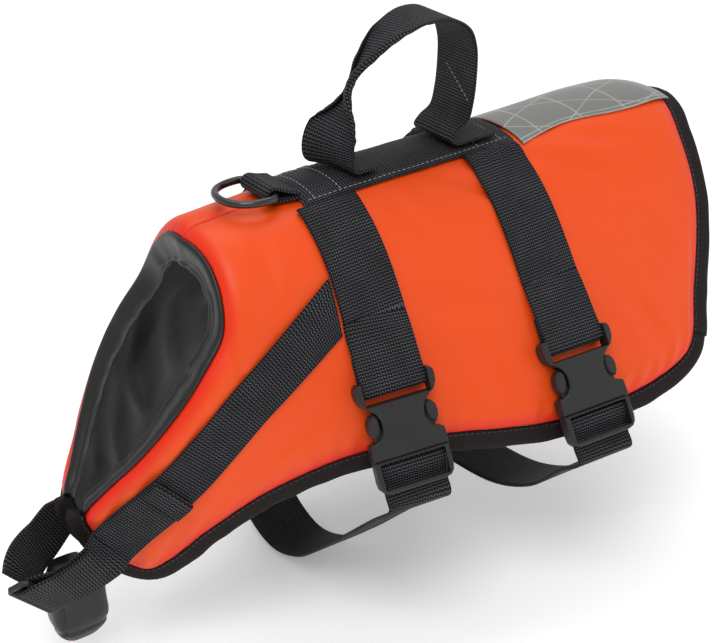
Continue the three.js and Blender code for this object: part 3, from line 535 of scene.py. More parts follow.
# Black nylon taffeta lining: thin, slightly shiny on its folds
def makeLiningCloth():
    material, tree, shader = newMaterial("black nylon lining", "#08080a", 0.45, IOR=1.5, Specular_IOR_Level=0.5)
    folds = objectNoise(tree, 30.0, 5.0)
    mmUv = uvMillimetres(tree)
    rib = mathNode(tree, "SINE", mathNode(tree, "MULTIPLY", mmUv.outputs["X"], 2 * math.pi / 0.8))
    height = mathNode(tree, "ADD", mathNode(tree, "MULTIPLY", rib, 0.03), folds.outputs["Fac"])
    addBump(tree, shader, height, 0.25, 0.0015)
    shade = addNode(tree, "ShaderNodeMapRange", {"To Min": 0.32, "To Max": 0.5}, {"Value": folds.outputs["Fac"]})
    tree.links.new(shade.outputs["Result"], shader.inputs["Roughness"])
    return material


# Neck facing: the lining's nylon turned over the edge; its rolled lip (the last 3 mm of the cut) is painted pale
# grey
#  as a painted highlight, where the light catches it
def makeFacingCloth():
    material, tree, shader = newMaterial("black nylon facing", "#0b0b0d", 0.38, IOR=1.5, Specular_IOR_Level=0.5)
    folds = objectNoise(tree, 55.0, 4.0)
    mmUv = uvMillimetres(tree)
    weave = mathNode(tree, "SINE", mathNode(tree, "MULTIPLY", mmUv.outputs["X"], 2 * math.pi / 0.9))
    height = mathNode(tree, "ADD", mathNode(tree, "MULTIPLY", weave, 0.04), folds.outputs["Fac"])
    addBump(tree, shader, height, 0.5, 0.001)
    lip = addNode(tree, "ShaderNodeMapRange", {"From Min": 4.5, "From Max": 1.5, "To Min": 0.0, "To Max": 1.0},
                  {"Value": mmUv.outputs["Y"]})
    # painted highlight: pale grey mixed onto the lip where the folds rise
    paintedLipGlint = mathNode(tree, "MULTIPLY", lip.outputs["Result"], mathNode(tree, "POWER", folds.outputs["Fac"], 1.5))
    mixColours(tree, shader, paintedLipGlint, "#0b0b0d", "#9a9ba2")
    return material


# Woven polyester binding tape: matt brownish black with a fine cross rib
def makeBindingTape():
    material, tree, shader = newMaterial("binding tape", "#1a1213", 0.7, IOR=1.5, Specular_IOR_Level=0.2)
    mmUv = uvMillimetres(tree)
    rib = mathNode(tree, "SINE", mathNode(tree, "MULTIPLY", mmUv.outputs["X"], 2 * math.pi / 1.1))
    grain = objectNoise(tree, 120.0, 3.0)
    height = mathNode(tree, "ADD", mathNode(tree, "MULTIPLY", rib, 0.25), grain.outputs["Fac"])
    addBump(tree, shader, height, 0.45, 0.0004)
    mixColours(tree, shader, grain.outputs["Fac"], "#110b0c", "#1f1516")
    return material


# Polypropylene webbing: thick multifilament yarns in a herringbone, each yarn crown painted with a grey glint as
# a painted highlight.
# Real yarn pitch is about 1.2 mm; it is drawn at 1.9 mm so that it shows.
webbingLook = {"pitch": 1.9, "rib": 3.2, "dark": "#040405", "crownGlint": "#5f6066"}


def makeWebbing(name, pitch, rib, dark, crownGlint, roughness):
    material, tree, shader = newMaterial(name, dark, roughness, IOR=1.5, Specular_IOR_Level=0.15)
    mmUv = uvMillimetres(tree)
    slant = mathNode(tree, "DIVIDE", mathNode(tree, "PINGPONG", mmUv.outputs["Y"], rib / 2), rib / 2)
    phase = mathNode(tree, "ADD", mathNode(tree, "DIVIDE", mmUv.outputs["X"], pitch),
                     mathNode(tree, "MULTIPLY", slant, 0.5))
    yarn = mathNode(tree, "ADD", mathNode(tree, "MULTIPLY", mathNode(
        tree, "SINE", mathNode(tree, "MULTIPLY", phase, 2 * math.pi)), 0.5), 0.5)
    lane = mathNode(tree, "ABSOLUTE", mathNode(tree, "SINE", mathNode(
        tree, "MULTIPLY", mmUv.outputs["Y"], 2 * math.pi / rib)))
    crownHeight = mathNode(tree, "MULTIPLY", yarn, mathNode(tree, "POWER", lane, 0.5))
    glintCloud = objectNoise(tree, 60.0, 3.0)
    # painted highlight: the grey glint is painted onto the yarn crowns, in patches
    glint = mathNode(tree, "MULTIPLY", mathNode(tree, "POWER", crownHeight, 2.2),
                     mathNode(tree, "ADD", glintCloud.outputs["Fac"], 0.35))
    mixColours(tree, shader, glint, dark, crownGlint)
    addBump(tree, shader, crownHeight, 0.8, 0.0006)
    return material


# Prismatic retroreflective PVC tape: satin grey film with paler welded lines
patchLook = {"grey": "#6a6c68", "line": "#a9aaa3", "cell": 34.0, "height": 46.0}


def makeReflectiveTape():
    look = patchLook
    material, tree, shader = newMaterial("prismatic reflective tape", look["grey"], 0.32,
                                         IOR=1.5, Coat_Weight=0.3, Coat_Roughness=0.2)
    mmUv = uvMillimetres(tree)
    x, y = mmUv.outputs["X"], mmUv.outputs["Y"]
    cellShare = mathNode(tree, "FRACT", mathNode(tree, "DIVIDE", x, look["cell"]))
    nearTo = lambda value, middle, half: mathNode(
        tree, "LESS_THAN", mathNode(tree, "ABSOLUTE", mathNode(tree, "SUBTRACT", value, middle)), half)
    lines = nearTo(cellShare, 0.5, 0.016)
    sway = mathNode(tree, "SINE", mathNode(tree, "MULTIPLY", x, math.pi / look["cell"]))
    sag = mathNode(tree, "MULTIPLY", sway, 0.03)
    for sign in (1.0, -1.0):
        slant = mathNode(tree, "ADD", mathNode(tree, "DIVIDE", x, 2 * look["cell"]),
                         mathNode(tree, "MULTIPLY", mathNode(tree, "DIVIDE", y, look["height"]), 1.5 * sign))
        share = mathNode(tree, "FRACT", mathNode(tree, "ADD", slant, sag))
        lines = mathNode(tree, "MAXIMUM", lines, nearTo(share, 0.5, 0.013))
    edge = addNode(tree, "ShaderNodeAttribute", {"attribute_name": "edge"})
    border = nearTo(edge.outputs["Fac"], 0.87, 0.014)
    rim = mathNode(tree, "GREATER_THAN", edge.outputs["Fac"], 0.97)
    lines = mathNode(tree, "MAXIMUM", mathNode(tree, "MAXIMUM", lines, border), rim)
    coords = addNode(tree, "ShaderNodeTexCoord")
    cloud = objectNoise(tree, 40.0, 2.0)
    softened = mathNode(tree, "MULTIPLY", lines, mathNode(tree, "ADD", cloud.outputs["Fac"], 0.2))
    mixColours(tree, shader, softened, look["grey"], look["line"])
    prism = addNode(tree, "ShaderNodeTexVoronoi", {"Scale": 900.0}, {"Vector": coords.outputs["Object"]})
    height = mathNode(tree, "ADD", mathNode(tree, "MULTIPLY", prism.outputs["Distance"], 0.2), lines)
    addBump(tree, shader, height, 0.2, 0.0003)
    return material


# Injection-moulded acetal: dark grey, matt, with a very fine spark-eroded grain
def makeAcetal():
    material, tree, shader = newMaterial("moulded acetal", "#232423", 0.46, IOR=1.48, Specular_IOR_Level=0.35)
    grain = objectNoise(tree, 900.0, 3.0)
    cloud = objectNoise(tree, 60.0, 2.0)
    addBump(tree, shader, grain.outputs["Fac"], 0.15, 0.0002)
    mixColours(tree, shader, cloud.outputs["Fac"], "#1c1d1c", "#282928")
    rough = addNode(tree, "ShaderNodeMapRange", {"To Min": 0.4, "To Max": 0.55}, {"Value": cloud.outputs["Fac"]})
    tree.links.new(rough.outputs["Result"], shader.inputs["Roughness"])
    return material


# Steel wire with a black baked coat: smooth, with a small clear glint
def makeCoatedSteel():
    material, tree, shader = newMaterial("black coated steel", "#121214", 0.28, IOR=1.5, Coat_Weight=0.4,
                                         Coat_Roughness=0.15)
    orangePeel = objectNoise(tree, 400.0, 2.0)
    addBump(tree, shader, orangePeel.outputs["Fac"], 0.1, 0.0002)
    return material


# Bonded polyester sewing thread
def makeThread(name, colour):
    material, tree, shader = newMaterial(name, colour, 0.5, IOR=1.5, Sheen_Weight=0.3)
    coords = addNode(tree, "ShaderNodeTexCoord")
    ply = addNode(tree, "ShaderNodeTexWave", {"Scale": 700.0, "Distortion": 1.0},
                  {"Vector": coords.outputs["Object"]})
    addBump(tree, shader, ply.outputs["Fac"], 0.4, 0.0002)
    return material


coatedOrange = makeCoatedCloth()
liningCloth = makeLiningCloth()
bindingTape = makeBindingTape()
facingCloth = makeFacingCloth()
webbing = makeWebbing("polypropylene webbing", webbingLook["pitch"], webbingLook["rib"], webbingLook["dark"],
                      webbingLook["crownGlint"], 0.62)
reflectiveTape = makeReflectiveTape()
acetal = makeAcetal()
coatedSteel = makeCoatedSteel()
blackThread = makeThread("black thread", "#2a2a2e")
greyThread = makeThread("grey thread", "#8d8d92")
print("materials made")


def settle(obj, slotName, *replaced, body="jacket"):
    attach(obj, body)
    if replaced:
        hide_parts(*replaced)
    return obj


# Side panels and lining

panelLook = {
    "columns": 150,
    "rows": 96,
    "hemPucker": 0.9,  # depth of the small gathers along the hem seam
    "puckerPitch": 13,
    "softWave": 1.0,
    "creaseGain": 1.9,
}
# creases: x, s, direction in degrees, length, width, depth
nearCreases = [(28, 38, 35, 20, 5, 0.9), (40, 52, 40, 16, 4, 0.7), (92, 42, 30, 30, 7, 1.0),
               (118, 55, 24, 26, 6, 0.8), (128, 36, 18, 22, 6, 0.7), (-22, 44, 60, 20, 6, 0.5),
               (-151, 78, 80, 16, 3, 0.8), (-120, 52, 100, 22, 7, 0.6), (0, 150, 80, 22, 6, 0.7),
               (110, 150, 70, 24, 7, 0.7), (-150, 150, 120, 24, 6, 0.7), (-10, 100, 20, 34, 9, 0.5),
               (140, 110, 60, 26, 7, 0.6), (-120, 135, 150, 22, 6, 0.6), (-190, 170, 120, 18, 5, 0.6)]
farCreases = [(x + 9, s + 6 * math.sin(x), a + 12, l, w, d) for x, s, a, l, w, d in nearCreases]


def creaseRelief(x, s, creases):
    relief = np.zeros(x.shape)
    for cx, cs, angle, length, width, depth in creases:
        c, n = math.cos(math.radians(angle)), math.sin(math.radians(angle))
        a = (x - cx) * c + (s - cs) * n
        b = -(x - cx) * n + (s - cs) * c
        fade = np.exp(-(a / length) ** 2)
        bank = lambda shift: np.exp(-((b + shift * width) / width) ** 2)
        relief += depth * fade * (0.55 * bank(-1.5) + 0.55 * bank(1.5) - bank(0))
    return relief


def panelShares(count, ease=0.72):
    t = np.linspace(0, 1, count)
    return t - ease * np.sin(2 * math.pi * t) / (2 * math.pi)


neckLine = pointAt(np.linspace(0, neckCorner, 160))


def runBesideNeck(x, s, distance):
    # the foam stands up steeply behind the neck's facing, and eases down to the other edges
    gap = np.sqrt((x[..., None] - neckLine[:, 0]) ** 2 + (s[..., None] - neckLine[:, 1]) ** 2).min(-1)
    return garment["puffRun"] - 13 * np.exp(-np.maximum(gap - distance, 0) / 12)


for word, side, creases in (("left", left, nearCreases), ("right", right, farCreases)):
    u = panelShares(panelLook["columns"])[:, None]
    v = panelShares(panelLook["rows"])[None, :]
    x, s = panelNode(u, v)
    distance = edgeDistance(x, s)
    puff = garment["panelPuff"] - 3 * (1 - roundRise(s, 12))
    lift = puff * roundRise(distance, runBesideNeck(x, s, distance))
    inner = np.clip(distance / 16, 0, 1) * np.clip(s / 26, 0, 1)
    lift = lift + creaseRelief(x, s, creases) * panelLook["creaseGain"] * inner
    lift = lift + softNoise(x, s, 90, 5 + side) * panelLook["softWave"] * inner
    gather = np.sin((x + 0.35 * s) * 2 * math.pi / panelLook["puckerPitch"] + 2 * softNoise(x, s, 60, 9 + side))
    hemZone = np.exp(-((distance - 7) / 7) ** 2) * np.clip((s - 90) / 60, 0, 1)
    lift = lift + gather * hemZone * panelLook["hemPucker"] * np.clip(distance / 5, 0, 1)
    normal = surfaceFrame(x, s, side)[2]
    base = surfacePoint(x, s, side)
    upper = base + normal * lift[..., None]
    lower = base - normal * garment["panelBack"]
    upper[:, 0, 1] = lower[:, 0, 1] = side * 0.2
    # painted shade: this edge value is low near the seams and the spine, where the orange is painted darker and
    # redder
    rim = np.clip(distance / 9, 0, 1) * (0.5 + 0.5 * np.clip(s / 12, 0, 1))
    uvs = np.stack([x * mm, s * mm], -1)
    panel = gridWall(f"panelCloth_{word}", upper, lower, uvs, coatedOrange, extra=rim)
    settle(panel, "coated_cloth", f"panel_{word}")

    # lining, with soft folds that stand into the hollow
    u = panelShares(96)[:, None]
    v = panelShares(64)[None, :]
    x, s = panelNode(u, v)
    distance = edgeDistance(x, s)
    normal = surfaceFrame(x, s, side)[2]
    base = surfacePoint(x, s, side)
    top = garment["panelBack"] + garment["liningGap"]
    fold = np.abs(softNoise(x, s * 0.5, 52, 21 + side)) ** 0.7 * 9.0 * np.clip(distance / 26, 0, 1)
    outerSide = base - normal * top
    innerSide = base - normal * (top + 0.9 + fold)[..., None]
    outerSide[:, 0, 1] = innerSide[:, 0, 1] = side * 0.2
    cloth = gridWall(f"liningCloth_{word}", outerSide, innerSide, np.stack([x * mm, s * mm], -1), liningCloth)
    settle(cloth, "lining_cloth", f"lining_{word}")
print("panels and lining made")

# Bindings

bindingLook = {"tailWider": 1.6, "wave": 0.5}


def edgeFrames(side, shares):
    node = pointAt(shares)
    ahead, back = pointAt(np.minimum(shares + 1e-4, 1)), pointAt(np.maximum(shares - 1e-4, 0))
    tangent = unit(ahead - back)
    along, down, out = surfaceFrame(node[:, 0], node[:, 1], side)
    run = unit(along * tangent[:, :1] + down * tangent[:, 1:])
    across = unit(np.cross(run, out)) * -side
    return surfacePoint(node[:, 0], node[:, 1], side), across, out


def overSpine(shares):
    near, far = edgeFrames(left, shares[1:][::-1]), edgeFrames(right, shares)
    return [np.concatenate([a, b]) for a, b in zip(near, far)]


def roundedProfile(points, steps=3):
    # closed profile with its corners rounded by a spline
    points = np.array(points, float)
    count = len(points)
    out = []
    for i in range(count):
        p0, p1, p2, p3 = points[i - 1], points[i], points[(i + 1) % count], points[(i + 2) % count]
        for k in range(steps):
            w = k / steps
            v0, v1 = (p2 - p0) * 0.3, (p3 - p1) * 0.3
            out.append(hermite(p1, p2, v0, v1, w))
    return np.array(out)


def bindingPiece(name, frames, profile, seed, heights=None, lipWave=0.0, material=None):
    at, across, up = frames
    along = np.concatenate([[0], np.cumsum(np.linalg.norm(np.diff(at, axis=0), axis=1))])
    wave = softNoise(along, np.zeros(len(along)), 24, seed) * bindingLook["wave"]
    lip = softNoise(along, np.zeros(len(along)), 17, seed + 3) * lipWave
    heights = np.ones(len(along)) if heights is None else heights
    b, n = profile[:, 0], profile[:, 1]
    deep = np.clip(-n / max(-n.min(), 1e-6), 0, 1)  # 1 at the inner lip
    rings = at[:, None] + across[:, None] * (b[None] * (1 + 0.1 * wave[:, None]) + lip[:, None] * deep[None]
                                             + 0.4 * np.abs(wave[:, None]) * (b[None] > 1))[..., None]
    rings = rings + up[:, None] * (n[None] * heights[:, None] + wave[:, None] * 0.4 * (b[None] > 1)
                                   - np.abs(lip[:, None]) * 0.8 * deep[None])[..., None]
    ring = np.concatenate([[0], np.cumsum(np.linalg.norm(np.diff(profile, axis=0), axis=1))])
    obj = ringSweep(name, rings, along, list(ring), material or bindingTape)
    obj["cutLength"] = float(along[-1])
    obj["cutWidth"] = float(ring[-1])
    return obj


def declareBinding(obj, *replaced):
    settle(obj, "binding_tape", *replaced)


def spread(a, b, step=2.2):
    return np.linspace(a, b, max(int(abs(b - a) * outlineLength / step), 4))


joinClear = 0.25 / outlineLength
edgeProfile = roundedProfile([(0.4, -5), (4, -5.2), (8.2, -5), (10.6, -3.4), (11, -2), (10.6, -0.4), (8.2, 0.8),
                              (4, 0.9), (0.4, 0.8)], 2)
neckProfile = roundedProfile([(0.4, -14.6), (1.6, -16.2), (3.2, -16), (3.4, -14.4), (2.4, -12.6), (3, -9),
                              (3.4, -5), (3.3, -2), (2.7, -0.2), (1.6, 0.8), (0.4, 0.8), (0.4, -7)], 2)

neckShares = spread(0, neckCorner - joinClear)
neckFrames = overSpine(neckShares)
towardTip = np.abs(np.linspace(-1, 1, len(neckFrames[0])))
neckHeights = 1 + (0.45 - 1) * np.clip(2 * towardTip - 1, 0, 1)
neckPiece = bindingPiece("neckBinding", neckFrames, neckProfile, 31, neckHeights, lipWave=2.2,
                         material=facingCloth)
declareBinding(neckPiece, "binding_neck")
rearFrames = overSpine(spread(1, rearCorner + joinClear))
tailProfile = np.where(edgeProfile[:, :1] > 0.5, edgeProfile + [bindingLook["tailWider"], 0], edgeProfile)
declareBinding(bindingPiece("tailBinding", rearFrames, tailProfile, 32), "binding_rear")
hemShares = spread(neckCorner + joinClear, rearCorner - joinClear)
for word, side, seed in (("left", left, 33), ("right", right, 34)):
    piece = bindingPiece(f"hemBinding_{word}", edgeFrames(side, hemShares), edgeProfile, seed)
    declareBinding(piece, f"binding_hem_{word}")
print("bindings made")

# Webbing on the back and sides

webWidth = 39
webThickness = 1.8
spineHalf = 20


def spineLift(x):
    x = np.asarray(x, float)
    highest = np.full(x.shape, 0.8)
    for share in (0, 0.3, 0.6, 1):
        highest = np.maximum(highest, foamLift(x, np.full(x.shape, share * spineHalf)))
    return highest + 0.8


def spineRows(xs, halves, columns, lift):
    # rows across the spine, for bands that lie on it
    k = np.linspace(-1, 1, columns)
    middle, normal = [], []
    for x, half, rise in zip(xs, halves, lift):
        y = k * half
        sides = np.where(y < 0, -1, 1)
        points = np.array([liftedPoint(x, abs(w), sd, rise) for w, sd in zip(y, sides)])
        normals = np.array([surfaceFrame(np.array(x), np.array(abs(w)), sd)[2] for w, sd in zip(y, sides)])
        normals[np.abs(y) < 1e-6] = unit(normals[np.abs(y) < 1e-6] * [1, 0, 1])
        middle.append(points)
        normal.append(normals)
    return np.array(middle), np.array(normal)


xs = np.linspace(-80, 72, 60)
middle, normal = spineRows(xs, np.full(60, spineHalf), 17, spineLift(xs) + 0.9)
ripple = softNoise(xs, xs * 0, 36, 41)[:, None, None] * 0.35
backWeb = band("spineWebbing", middle + normal * ripple, normal, 2 * spineHalf, webbing)
rowsOf = {"back": (middle + normal * ripple, normal)}
settle(backWeb, "webbing", "spine_webbing")

girths = [{"word": "front", "x": -64, "spineX": -67, "top": 122, "ruck": 0.6},
          {"word": "rear", "x": 52, "spineX": 51, "top": 139, "ruck": 3.2}]
bellyRuns = {
    "front": [(104, -152), (100, -185), (84, -220), (60, -246), (30, -256), (-2, -246), (-34, -221),
              (-66, -192), (-90, -170)],
    "rear": [(124, -152), (118, -172), (98, -190), (62, -202), (20, -208), (-24, -208), (-62, -202),
             (-96, -186), (-122, -162)],
}
bodyLoop = [(-27, 1.9), (-18, 3.5), (-8, 4.9), (0, 6.3), (5.6, 6.9), (7.7, 6.1), (8.5, 4), (7.7, 1.9),
            (5.6, 1.2), (-4, 1.2), (-14, 1.2)]
insertRun = [(75, 1.6), (67, 1.8), (63, 2.1), (58.4, 3.9), (54.6, 6), (50.8, 6.5), (48.6, 5.4),
             (48.2, 3.4)]


def buckleAxes(girth):
    # origin and the across, down and out directions of a buckle
    x, s = np.array(float(girth["x"])), np.array(girth["top"] + 22.5)
    along, down, out = surfaceFrame(x, s, left)
    across = unit(along - down * (along @ down))
    top = np.array(float(girth["top"]))
    base = liftedPoint(x, top, left, foamLift(x, top) + 1.5)
    slide = unit(np.cross(out, across))
    if slide @ down < 0:
        slide = -slide
    if np.cross(across, slide) @ out < 0:
        across = -across
    return base, across, slide, out


def hemAt(x):
    candidates = edgeLoop[edgeLoop[:, 1] > 100]
    return float(candidates[np.argmin(np.abs(candidates[:, 0] - x)), 1])


def rowEnd(rows):
    # control at the end of some rows: middle point and across direction
    last = rows[0][-1]
    return last[webSides // 2], unit(last[-1] - last[0])


for girth in girths:
    word, x0 = girth["word"], girth["x"]
    base, across, slide, out = buckleAxes(girth)
    place = lambda y, z: base + slide * y + out * z
    k = np.linspace(-0.5, 0.5, webSides + 1)[None, :]

    def sideRows(side, start, stop):
        count = int((stop - start) / 3)
        s = np.linspace(start, stop, count)[:, None] + 0 * k
        down = np.clip((s - start) / (girth["top"] - 36 - start), 0, 1)
        x = girth["spineX"] + (x0 - girth["spineX"]) * down + k * webWidth
        n = surfaceFrame(x, s, side)[2]
        sag = softNoise(s, x * 0.2, 60, 50 + abs(x0)) * 0.35
        sag = sag + girth["ruck"] * np.exp(-((s - start - 5) / 5) ** 2) * (1 + 0.5 * np.sin(x * 0.5 + s * 0.3))
        return surfacePoint(x, s, side) + n * (bandSeat(x, s) + 0.9 + sag)[..., None], n

    near = sideRows(left, spineHalf + 0.4, girth["top"] - 36)
    endPoint, endAcross = rowEnd(near)
    lean = -1 if endAcross @ across < 0 else 1
    controls = [(endPoint, endAcross)] + [(place(y, z), across * lean) for y, z in bodyLoop]
    loop = freeBand(controls, 90, webWidth, near[1][-1, webSides // 2])
    rows = joinBands(near, (loop[0][1:], loop[1][1:]))
    strap = band(f"girthWeb_{word}_near", rows[0], rows[1], webWidth, webbing)
    settle(strap, "webbing", f"strap_{word}_left")

    far = sideRows(right, spineHalf + 0.4, hemAt(x0) + 13)
    endPoint, endAcross = rowEnd(far)
    way = np.array([1.0, 0, 0])
    turned = across * (-1 if across @ way < 0 else 1)
    controls = [(endPoint, endAcross)] + [(np.array([x0, y, z + raiseBy]), way) for y, z in bellyRuns[word]]
    controls += [(place(y, z), turned) for y, z in insertRun]
    belly = freeBand(controls, 150, webWidth, far[1][-1, webSides // 2])
    rows = joinBands(far, (belly[0][1:], belly[1][1:]))
    strap = band(f"girthWeb_{word}_far", rows[0], rows[1], webWidth, webbing)
    settle(strap, "webbing", f"girth_strap_{word}")
print("girth straps made")

# Chest straps

chestWidth = 28
chestNodes = np.array([(-86, 75), (-104, 84), (-126, 96), (-147, 109), (-166, 126), (-182, 144), (-195, 158),
                       (-205, 168), (-216, 179)], float)
layerStep = webThickness + 0.4
sliderAt = np.array([-262.8, -12, -194.2 + raiseBy])
sliderAcross = unit(np.array([0.7, 0, -0.71]))
sliderRun = unit(np.array([-0.58, 0.58, -0.5718]))
sliderUp = unit(np.cross(sliderAcross, sliderRun))
nearFree = [(-231, -28, -173.5), (-247, -23, -183)]
farFree = [(-230, 26.5, -174), (-243, 21.5, -181), (-255, 14.5, -183.5), (-264, 5.5, -185.5),
           (-268, -0.5, -188.5)]


def chestRows(side, start, lift):
    line = catmull(np.column_stack([chestNodes, np.zeros(len(chestNodes))]), 200)[:, :2]
    lengths = np.concatenate([[0], np.cumsum(np.linalg.norm(np.diff(line, axis=0), axis=1))])
    share = np.linspace(start, 1, int(60 * (1 - start)) + 2)
    line = np.stack([np.interp(share * lengths[-1], lengths, line[:, c]) for c in (0, 1)], 1)
    return panelBand(line, side, chestWidth, lift, squareTo=np.maximum(0, 1 - share / 0.16))


raised = lambda points, rise=0.0: [np.array([x, y - rise, z + raiseBy]) for x, y, z in points]
base = chestRows(left, 0, 0)
endPoint, endAcross = rowEnd(base)
across = sliderAcross * np.sign(endAcross @ sliderAcross)
outward = -1 if base[1][-1, webSides // 2] @ sliderUp < 0 else 1
onSlider = lambda run, up: sliderAt + sliderRun * run + sliderUp * up
tail = chestRows(left, 0.755, layerStep)
tail = (tail[0][::-1], tail[1][::-1])
bend = []
for a in (-90, -45, 0, 45, 90):
    bend.append(onSlider(3 * math.cos(math.radians(a)), outward * 3 * math.sin(math.radians(a))))
controls = [endPoint, *raised(nearFree), onSlider(-11, -outward * 3), *bend, onSlider(-11, outward * 3),
            *raised(nearFree[::-1], 2 * layerStep)]
controls = [(p, across) for p in controls]
controls[0] = (endPoint, endAcross)
controls.append((tail[0][0, webSides // 2], unit(tail[0][0, -1] - tail[0][0, 0])))
free = freeBand(controls, 110, chestWidth, base[1][-1, webSides // 2])
returned = (tail[0], -tail[1])
ahead = unit(tail[0][-1] - tail[0][-2])
lipRows = [(tail[0][-1] + ahead * (1.6 * math.sin(a)) + tail[1][-1] * (1.15 * (1 - math.cos(a))),
            ahead * math.sin(a) - tail[1][-1] * math.cos(a)) for a in np.linspace(0.5, math.pi - 0.3, 5)]
back = tail[0][-4:-1][::-1] + tail[1][-4:-1][::-1] * 2.4
lip = (np.concatenate([np.array([r[0] for r in lipRows]), back]),
       np.concatenate([np.array([r[1] for r in lipRows]), tail[1][-4:-1][::-1]]))
rows = joinBands(base, (free[0][1:-1], free[1][1:-1]), returned, lip)
strap = band("chestWeb_near", rows[0], rows[1], chestWidth, webbing)
settle(strap, "webbing", "chest_strap_left")

base = chestRows(right, 0, 0)
endPoint, endAcross = rowEnd(base)
across = sliderAcross * np.sign(endAcross @ sliderAcross)
controls = [(endPoint, endAcross)] + [(p, across) for p in raised(farFree)]
free = freeBand(controls, 50, chestWidth, base[1][-1, webSides // 2])
rows = joinBands(base, (free[0][1:], free[1][1:]))
strap = band("chestWeb_far", rows[0], rows[1], chestWidth, webbing)
settle(strap, "webbing", "chest_strap_right")
print("chest straps made")

# Reflective patch, ring and handle

patchStations = [(76, 25), (88, 23), (102, 21), (116, 20.5), (132, 22), (148, 24), (164, 24.5),
                 (178, 23.5), (190, 22), (199, 20.5), (205.5, 19)]
xs = np.linspace(76, 205.5, 80)
halves = smoothThrough([p[0] for p in patchStations], [p[1] for p in patchStations], xs)
lift = spineLift(xs) + 0.6 + softNoise(xs, xs * 0, 40, 61) * 0.3
middle, normal = spineRows(xs, halves, 33, lift)
along = np.concatenate([[0], np.cumsum(np.linalg.norm(np.diff(middle[:, 16], axis=0), axis=1))])
acrossPatch = np.linspace(-1, 1, 33)[None, :] * halves[:, None] * mm + 0.023
uvs = np.stack([np.repeat(along[:, None], 33, 1) * mm, acrossPatch], -1)
patch = gridWall("reflectivePatch", middle + normal * 0.5, middle - normal * 0.5, uvs, reflectiveTape,
                 extra=np.repeat(np.abs(np.linspace(-1, 1, 33))[None], 80, 0))
settle(patch, "reflective_tape", "reflective_patch")

ring = {"barX": -96, "wire": 2.3, "half": 19, "reach": 27, "corner": 5, "tabWidth": 30}
tabRadius = ring["wire"] + 0.8 + webThickness / 2
tabRise = spineLift(np.array(float(ring["barX"]))) + webThickness / 2
tabSeat = float(liftedPoint(ring["barX"], 0.0, right, tabRise)[2])
ringZ = tabSeat + tabRadius
aroundBar = []
for a in (-90, -125, -160, -200, -235, -270):
    turn = math.radians(a)
    aroundBar.append((ring["barX"] + tabRadius * math.cos(turn), ringZ + tabRadius * math.sin(turn)))
tabPoints = [(ring["barX"] + 15.2, tabSeat + 0.9), (ring["barX"] + 6, tabSeat + 0.1), *aroundBar,
             (ring["barX"] + 7, ringZ + 1.6), (ring["barX"] + 15.2, tabSeat + layerStep + 0.9)]
tabWidths = [38, 33, *[ring["tabWidth"]] * 6, 33, 38]
tabControls = [(np.array([x, 0, z]), np.array([0, 1.0, 0]), w) for (x, z), w in zip(tabPoints, tabWidths)]
rows = freeBand(tabControls, 60, ring["tabWidth"], (0, 0, 1))
tab = band("ringTab", rows[0], rows[1], ring["tabWidth"], webbing)
settle(tab, "webbing", "ring_tab")


def bezier(points, t):
    points = [np.array(p, float) for p in points]
    while len(points) > 1:
        points = [a + (b - a) * t for a, b in zip(points, points[1:])]
    return points[0]


def ringLine():
    h, c, r = ring["half"], ring["corner"], ring["reach"]
    at = lambda reach, y: (ring["barX"] - reach, y, ringZ)
    spans = [([at(0, c - h), at(0, h - c)], 14), ([at(0, h - c), at(0, h), at(c, h)], 8),
             ([at(c, h), at(r * 0.8, h), at(r, h / 2), at(r, 0)], 20),
             ([at(r, 0), at(r, -h / 2), at(r * 0.8, -h), at(c, -h)], 20),
             ([at(c, -h), at(0, -h), at(0, c - h)], 8)]
    return np.array([bezier(points, i / count) for points, count in spans for i in range(count)])


line = ringLine()
tangent = unit(np.roll(line, -1, 0) - np.roll(line, 1, 0))
aside = np.cross(tangent, [0, 0, 1.0])
angles = np.linspace(0, 2 * math.pi, 16, endpoint=False)
rings = line[:, None] + aside[:, None] * (ring["wire"] * np.cos(angles))[None, :, None]
rings = rings + np.array([0, 0, 1.0]) * (ring["wire"] * np.sin(angles))[None, :, None]
rings = np.concatenate([rings, rings[:1]])
dRing = ringSweep("leashRing", rings, np.arange(len(rings)) * 1.5, list(angles), coatedSteel)
settle(dRing, "ring_metal", "d_ring", body="ring")

handle = {"width": 38, "rows": 230, "columns": 25}
# x, rise above the spine webbing, width between the folds, turn in degrees
handleSections = [(-27, 1.6, 38, -6), (-37, 1.8, 38, -12), (-45, 2.6, 38, -18), (-49, 7, 38, -20),
                  (-49, 16, 38, -20), (-45, 24, 35, -18), (-40, 31, 29, 0), (-37, 37, 25, 20),
                  (-34, 42.5, 23, 36), (-31, 48.5, 23, 44), (-26.7, 55.5, 25, 36), (-20.3, 62, 28, 27),
                  (-11.7, 69.5, 32, 20), (-1, 76, 36, 15), (12, 80.5, 38, 9), (29, 79, 38, 3),
                  (40, 71, 38, 0), (44.5, 59, 38, 0), (44.5, 41, 38, 0), (42.5, 26, 38, 0),
                  (39, 15.5, 38, 0), (31, 10.5, 38, 0), (27, 6, 38, 0), (31, 2.2, 38, 0), (42, 1.7, 38, 0),
                  (60, 1.5, 38, 0)]
controls = []
for x, rise, width, turn in handleSections:
    webTop = float(liftedPoint(float(x), 0.0, right, spineLift(np.array(float(x))) + webThickness)[2])
    sideways = np.array([math.sin(math.radians(turn)), math.cos(math.radians(turn)), 0])
    controls.append((np.array([x, 0, webTop + rise]), sideways, width))
rows = freeBand(controls, handle["rows"], handle["width"], (0, 0, 1), folded=True, columns=handle["columns"])
rowsOf["handle"] = rows
grip = band("grabHandle", rows[0], rows[1], handle["width"], webbing)
settle(grip, "webbing", "handle")
print("patch, ring and handle made")

# Chest pad

